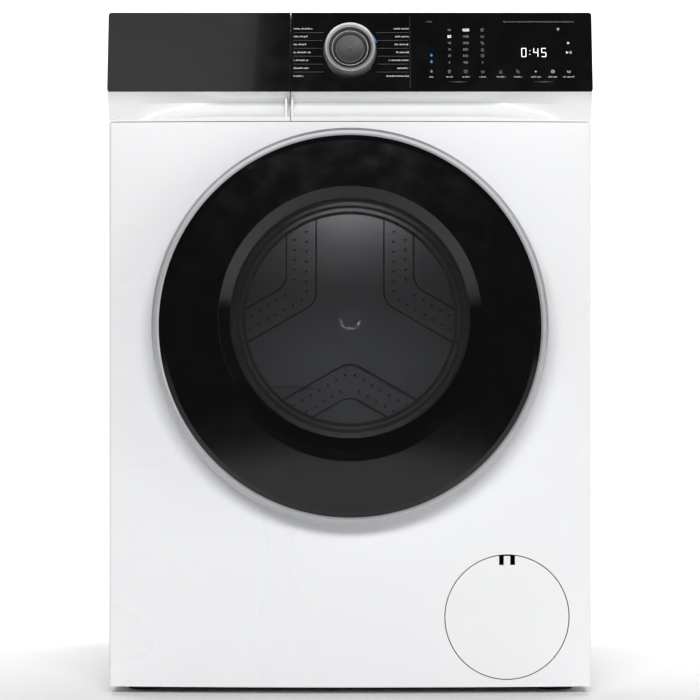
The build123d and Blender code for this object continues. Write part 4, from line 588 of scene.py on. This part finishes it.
def knob_details():
    """Lit mark beside the selector, a fine line on its cone and the power sign on its button."""
    def mark(bm):
        arc_band(bm, 0, 0, KNOB_RING_R + 3.4 * MM, KNOB_RING_R + 2.0 * MM, radians(17), radians(35), 10)

    def power(bm):
        arc_band(bm, 0, 0, 3.1 * MM, 2.55 * MM, radians(120), radians(420), 26)
        bar(bm, -0.28 * MM, 0.28 * MM, 0.9 * MM, 3.6 * MM)

    def seat(bm):
        arc_band(bm, 0, 0, KNOB_RING_R + 1.6 * MM, KNOB_RING_R + 0.45 * MM, 0, 2 * pi, 96)

    place = on_strip(0.0, KNOB_Z)
    add_piece("selector_mark", mark, BLUE_LIT, "root", place)
    add_piece("selector_seat", seat, "dark_plastic", "root", place)
    add_piece("power_sign", power, INK, "power", on_strip(0.0, KNOB_Z, BUTTON_TOP))

    def line(bm):
        arc_band(bm, 0, 0, 22.3 * MM, 21.9 * MM, 0, 2 * pi, 96)

    line_place = on_strip(0.0, KNOB_Z, RING_LINE_LIFT)
    add_piece("selector_line", line, "silver_plastic", "selector", line_place)


programme_labels()
option_columns()
key_row()
display()
knob_details()


# ---------------------------------------------------------------- drum holes
HOLE_R = 1.9 * MM
BARREL_R = (DRUM_HIGH.x - DRUM_LOW.x) / 2 - 1.0 * MM
PADDLE_ANGLES = (90.0, 210.0, 330.0)
HOLE_SIDES = 8


def cup(bm, centre, inward, r):
    """Small dark dimple of painted shade for a hole, standing in for the hole and the dark seen through it:
    a shallow cup just off the sheet.
    """
    turn = inward.to_track_quat("Z", "Y").to_matrix()
    rim = []
    floor = []
    for i in range(HOLE_SIDES):
        a = 2 * pi * i / HOLE_SIDES
        flat = Vector((r * cos(a), r * sin(a), 0))
        rim.append(bm.verts.new(centre + turn @ (flat + Vector((0, 0, 0.35 * MM)))))
        floor.append(bm.verts.new(centre + turn @ (flat * 0.8 + Vector((0, 0, 0.12 * MM)))))
    bm.faces.new(floor)
    for i in range(HOLE_SIDES):
        j = (i + 1) % HOLE_SIDES
        bm.faces.new((rim[i], rim[j], floor[j], floor[i]))


def barrel_holes(bm):
    """Staggered rows of drain holes round the barrel, clear of the paddles."""
    rows, around = 15, 60
    y0, y1 = DRUM_LOW.y + 30 * MM, DRUM_BACK_Y - 22 * MM
    for i in range(rows):
        y = y0 + (y1 - y0) * i / (rows - 1)
        for k in range(around):
            angle = 360.0 * (k + 0.5 * (i % 2)) / around
            if min(abs((angle - p + 180) % 360 - 180) for p in PADDLE_ANGLES) < 11:
                continue
            a = radians(angle)
            outward = Vector((cos(a), 0, sin(a)))
            cup(bm, Vector((0, y, AXIS_Z)) + outward * BARREL_R, -outward, HOLE_R)


BAND_ANGLES = (30.0, 150.0, 270.0)
BAND_RISE = 6.0 * MM
BAND_IN = 49.0 * MM
BAND_WIDTH = 42.0 * MM


def band_holes(bm):
    """Two rows of drain holes along each arm of the raised bands."""
    y = DRUM_BACK_Y - BAND_RISE
    for middle_angle in BAND_ANGLES:
        for side in (-1, 1):
            normal_angle = radians(middle_angle - side * 30)
            along_angle = radians(middle_angle + side * 60)
            normal = Vector((cos(normal_angle), 0, sin(normal_angle)))
            along = Vector((cos(along_angle), 0, sin(along_angle)))
            for lane, shift in ((0.3, 0.0), (0.7, 0.5)):
                off = BAND_IN + BAND_WIDTH * lane
                for k in range(12):
                    t = off * APEX_SHARE + (8 + 14.0 * (k + shift)) * MM
                    spot = normal * off + along * t
                    if spot.length > 212 * MM:
                        continue
                    cup(bm, Vector((0, y, AXIS_Z)) + spot, Vector((0, -1, 0)), HOLE_R)


APEX_SHARE = 0.577  # how far an arm's corner lies along it, for each unit off the hub
# Width of the dark strips of painted shade along the band edges.
SHADE_STRIP = 2.4 * MM
CORNER_R = 26.0 * MM


def band_edge_painted_shade(bm):
    """Dark strips of painted shade along both edges of each raised band, standing in for the shade at its
    side walls, rounded where the arms meet.
    """
    for middle_angle in BAND_ANGLES:
        m = radians(middle_angle)
        for off in (BAND_IN, BAND_IN + BAND_WIDTH):
            centre = off / cos(radians(30)) + CORNER_R / sin(radians(60))
            arc_band(bm, centre * cos(m), centre * sin(m), CORNER_R + SHADE_STRIP, CORNER_R, m + radians(150),
                     m + radians(210), 10)
            end = sqrt((216 * MM) ** 2 - off ** 2)
            for side in (-1, 1):
                n, d = m - side * radians(30), m + side * radians(60)
                start = off * APEX_SHARE + CORNER_R * APEX_SHARE
                corners = []
                for o, t in ((off - SHADE_STRIP, start), (off, start), (off, end), (off - SHADE_STRIP, end)):
                    corners.append((o * cos(n) + t * cos(d), o * sin(n) + t * sin(d)))
                slab(bm, corners)


# The drum's holes are dark cups of painted shade, standing in for the dark seen through them.
HOLE_PAINTED_SHADE = moulded("hole_painted_shade", (0.012, 0.012, 0.013), 0.6)
add_piece("drum_barrel_holes", barrel_holes, HOLE_PAINTED_SHADE, "drum_unit")
add_piece("drum_band_holes", band_holes, HOLE_PAINTED_SHADE, "drum_unit")
SHADE_STRIP_Y = DRUM_BACK_Y - BAND_RISE - 0.3 * MM
BACK_PLACE = Matrix.Translation((0, SHADE_STRIP_Y, AXIS_Z)) @ Matrix.Rotation(pi / 2, 4, "X")
add_piece("drum_band_edge_painted_shade", band_edge_painted_shade, HOLE_PAINTED_SHADE, "drum_unit", BACK_PLACE)


# ---------------------------------------------------------------- floor, lights and camera
def white_sweep():
    """Floor that curves up into a backdrop."""
    bm = bmesh.new()
    half, front, back, bend, top = 9.0, -9.0, 3.2, 2.2, 7.0
    profile = [(front, 0.0), (back, 0.0)]
    for k in range(1, 10):
        a = radians(10 * k)
        profile.append((back + bend * sin(a), bend * (1 - cos(a))))
    profile.append((back + bend, top))
    rows = [[bm.verts.new((x, y, z)) for x in (-half, half)] for y, z in profile]
    for a, b in zip(rows, rows[1:]):
        bm.faces.new((a[0], a[1], b[1], b[0]))
    mesh = bpy.data.meshes.new("studio_floor")
    bm.to_mesh(mesh)
    bm.free()
    for polygon in mesh.polygons:
        polygon.use_smooth = True
    paint = Paint("studio_white", (0.93, 0.93, 0.93), 0.9, Specular_IOR_Level=0.0)
    # The floor is painted grey towards the front: painted shade that dims what the door glass and rim
    # reflect.
    depth = paint.node("ShaderNodeSeparateXYZ")
    paint.link(paint.coords, depth.inputs["Vector"])
    front_painted_shade = paint.spread(depth.outputs["Y"], 0.0, 1.0, -1.6, -0.5)
    paint.vary_color(front_painted_shade, (0.50, 0.50, 0.50), (0.93, 0.93, 0.93))
    mesh.materials.append(paint.mat)
    floor = bpy.data.objects.new("studio_floor", mesh)
    bpy.context.scene.collection.objects.link(floor)


def softbox(name, place, target, size, power):
    light = bpy.data.lights.new(name, "AREA")
    light.shape = "RECTANGLE"
    light.size, light.size_y = size
    light.energy = power
    lamp = bpy.data.objects.new(name, light)
    lamp.location = place
    lamp.rotation_euler = (Vector(target) - Vector(place)).to_track_quat("-Z", "Y").to_euler()
    bpy.context.scene.collection.objects.link(lamp)


def studio():
    world = bpy.data.worlds.new("studio")
    world.use_nodes = True
    background = world.node_tree.nodes["Background"]
    background.inputs["Color"].default_value = (1.0, 1.0, 1.0, 1.0)
    background.inputs["Strength"].default_value = WORLD_STRENGTH
    scene = bpy.context.scene
    scene.world = world
    scene.view_settings.view_transform = "Standard"
    centre = (0, 0, 0.45)
    for name, (place, target, size, power) in LAMPS.items():
        softbox(name, place, target or centre, size, power)


WORLD_STRENGTH = 0.05
LAMPS = {  # place, target (None is the middle of the machine), width and height, power
    "front_key": ((0.0, -3.7, 1.75), None, (2.6, 0.7), 96.0),
    "left_wall": ((-3.0, -2.4, 1.0), None, (1.2, 2.4), 2.0),
    "right_wall": ((3.2, -2.2, 1.1), None, (1.6, 2.4), 26.0),
    "strip_card": ((-0.85, -3.3, 2.53), (-0.3, -0.3, 0.79), (1.2, 0.5), 1.6),
    "backdrop_wash": ((0.0, 1.2, 4.2), (0.0, 4.6, 1.2), (6.0, 1.6), 380.0),
    "drum_lamp": ((0.0, -0.165, 0.66), (0.0, 0.16, 0.36), (0.10, 0.03), 0.12),
}

CAMERA_Z = 427.0 * MM
CAMERA_DISTANCE = 3.0  # from the front's side edges
CAMERA_LENS = 124.4


def camera():
    data = bpy.data.cameras.new("camera")
    data.lens = CAMERA_LENS
    data.sensor_width = 36.0
    data.clip_end = 60.0
    eye = bpy.data.objects.new("camera", data)
    eye.location = (0, EDGE_Y - CAMERA_DISTANCE, CAMERA_Z)
    eye.rotation_euler = (pi / 2, 0, 0)
    bpy.context.scene.collection.objects.link(eye)
    bpy.context.scene.camera = eye


white_sweep()
studio()
camera()
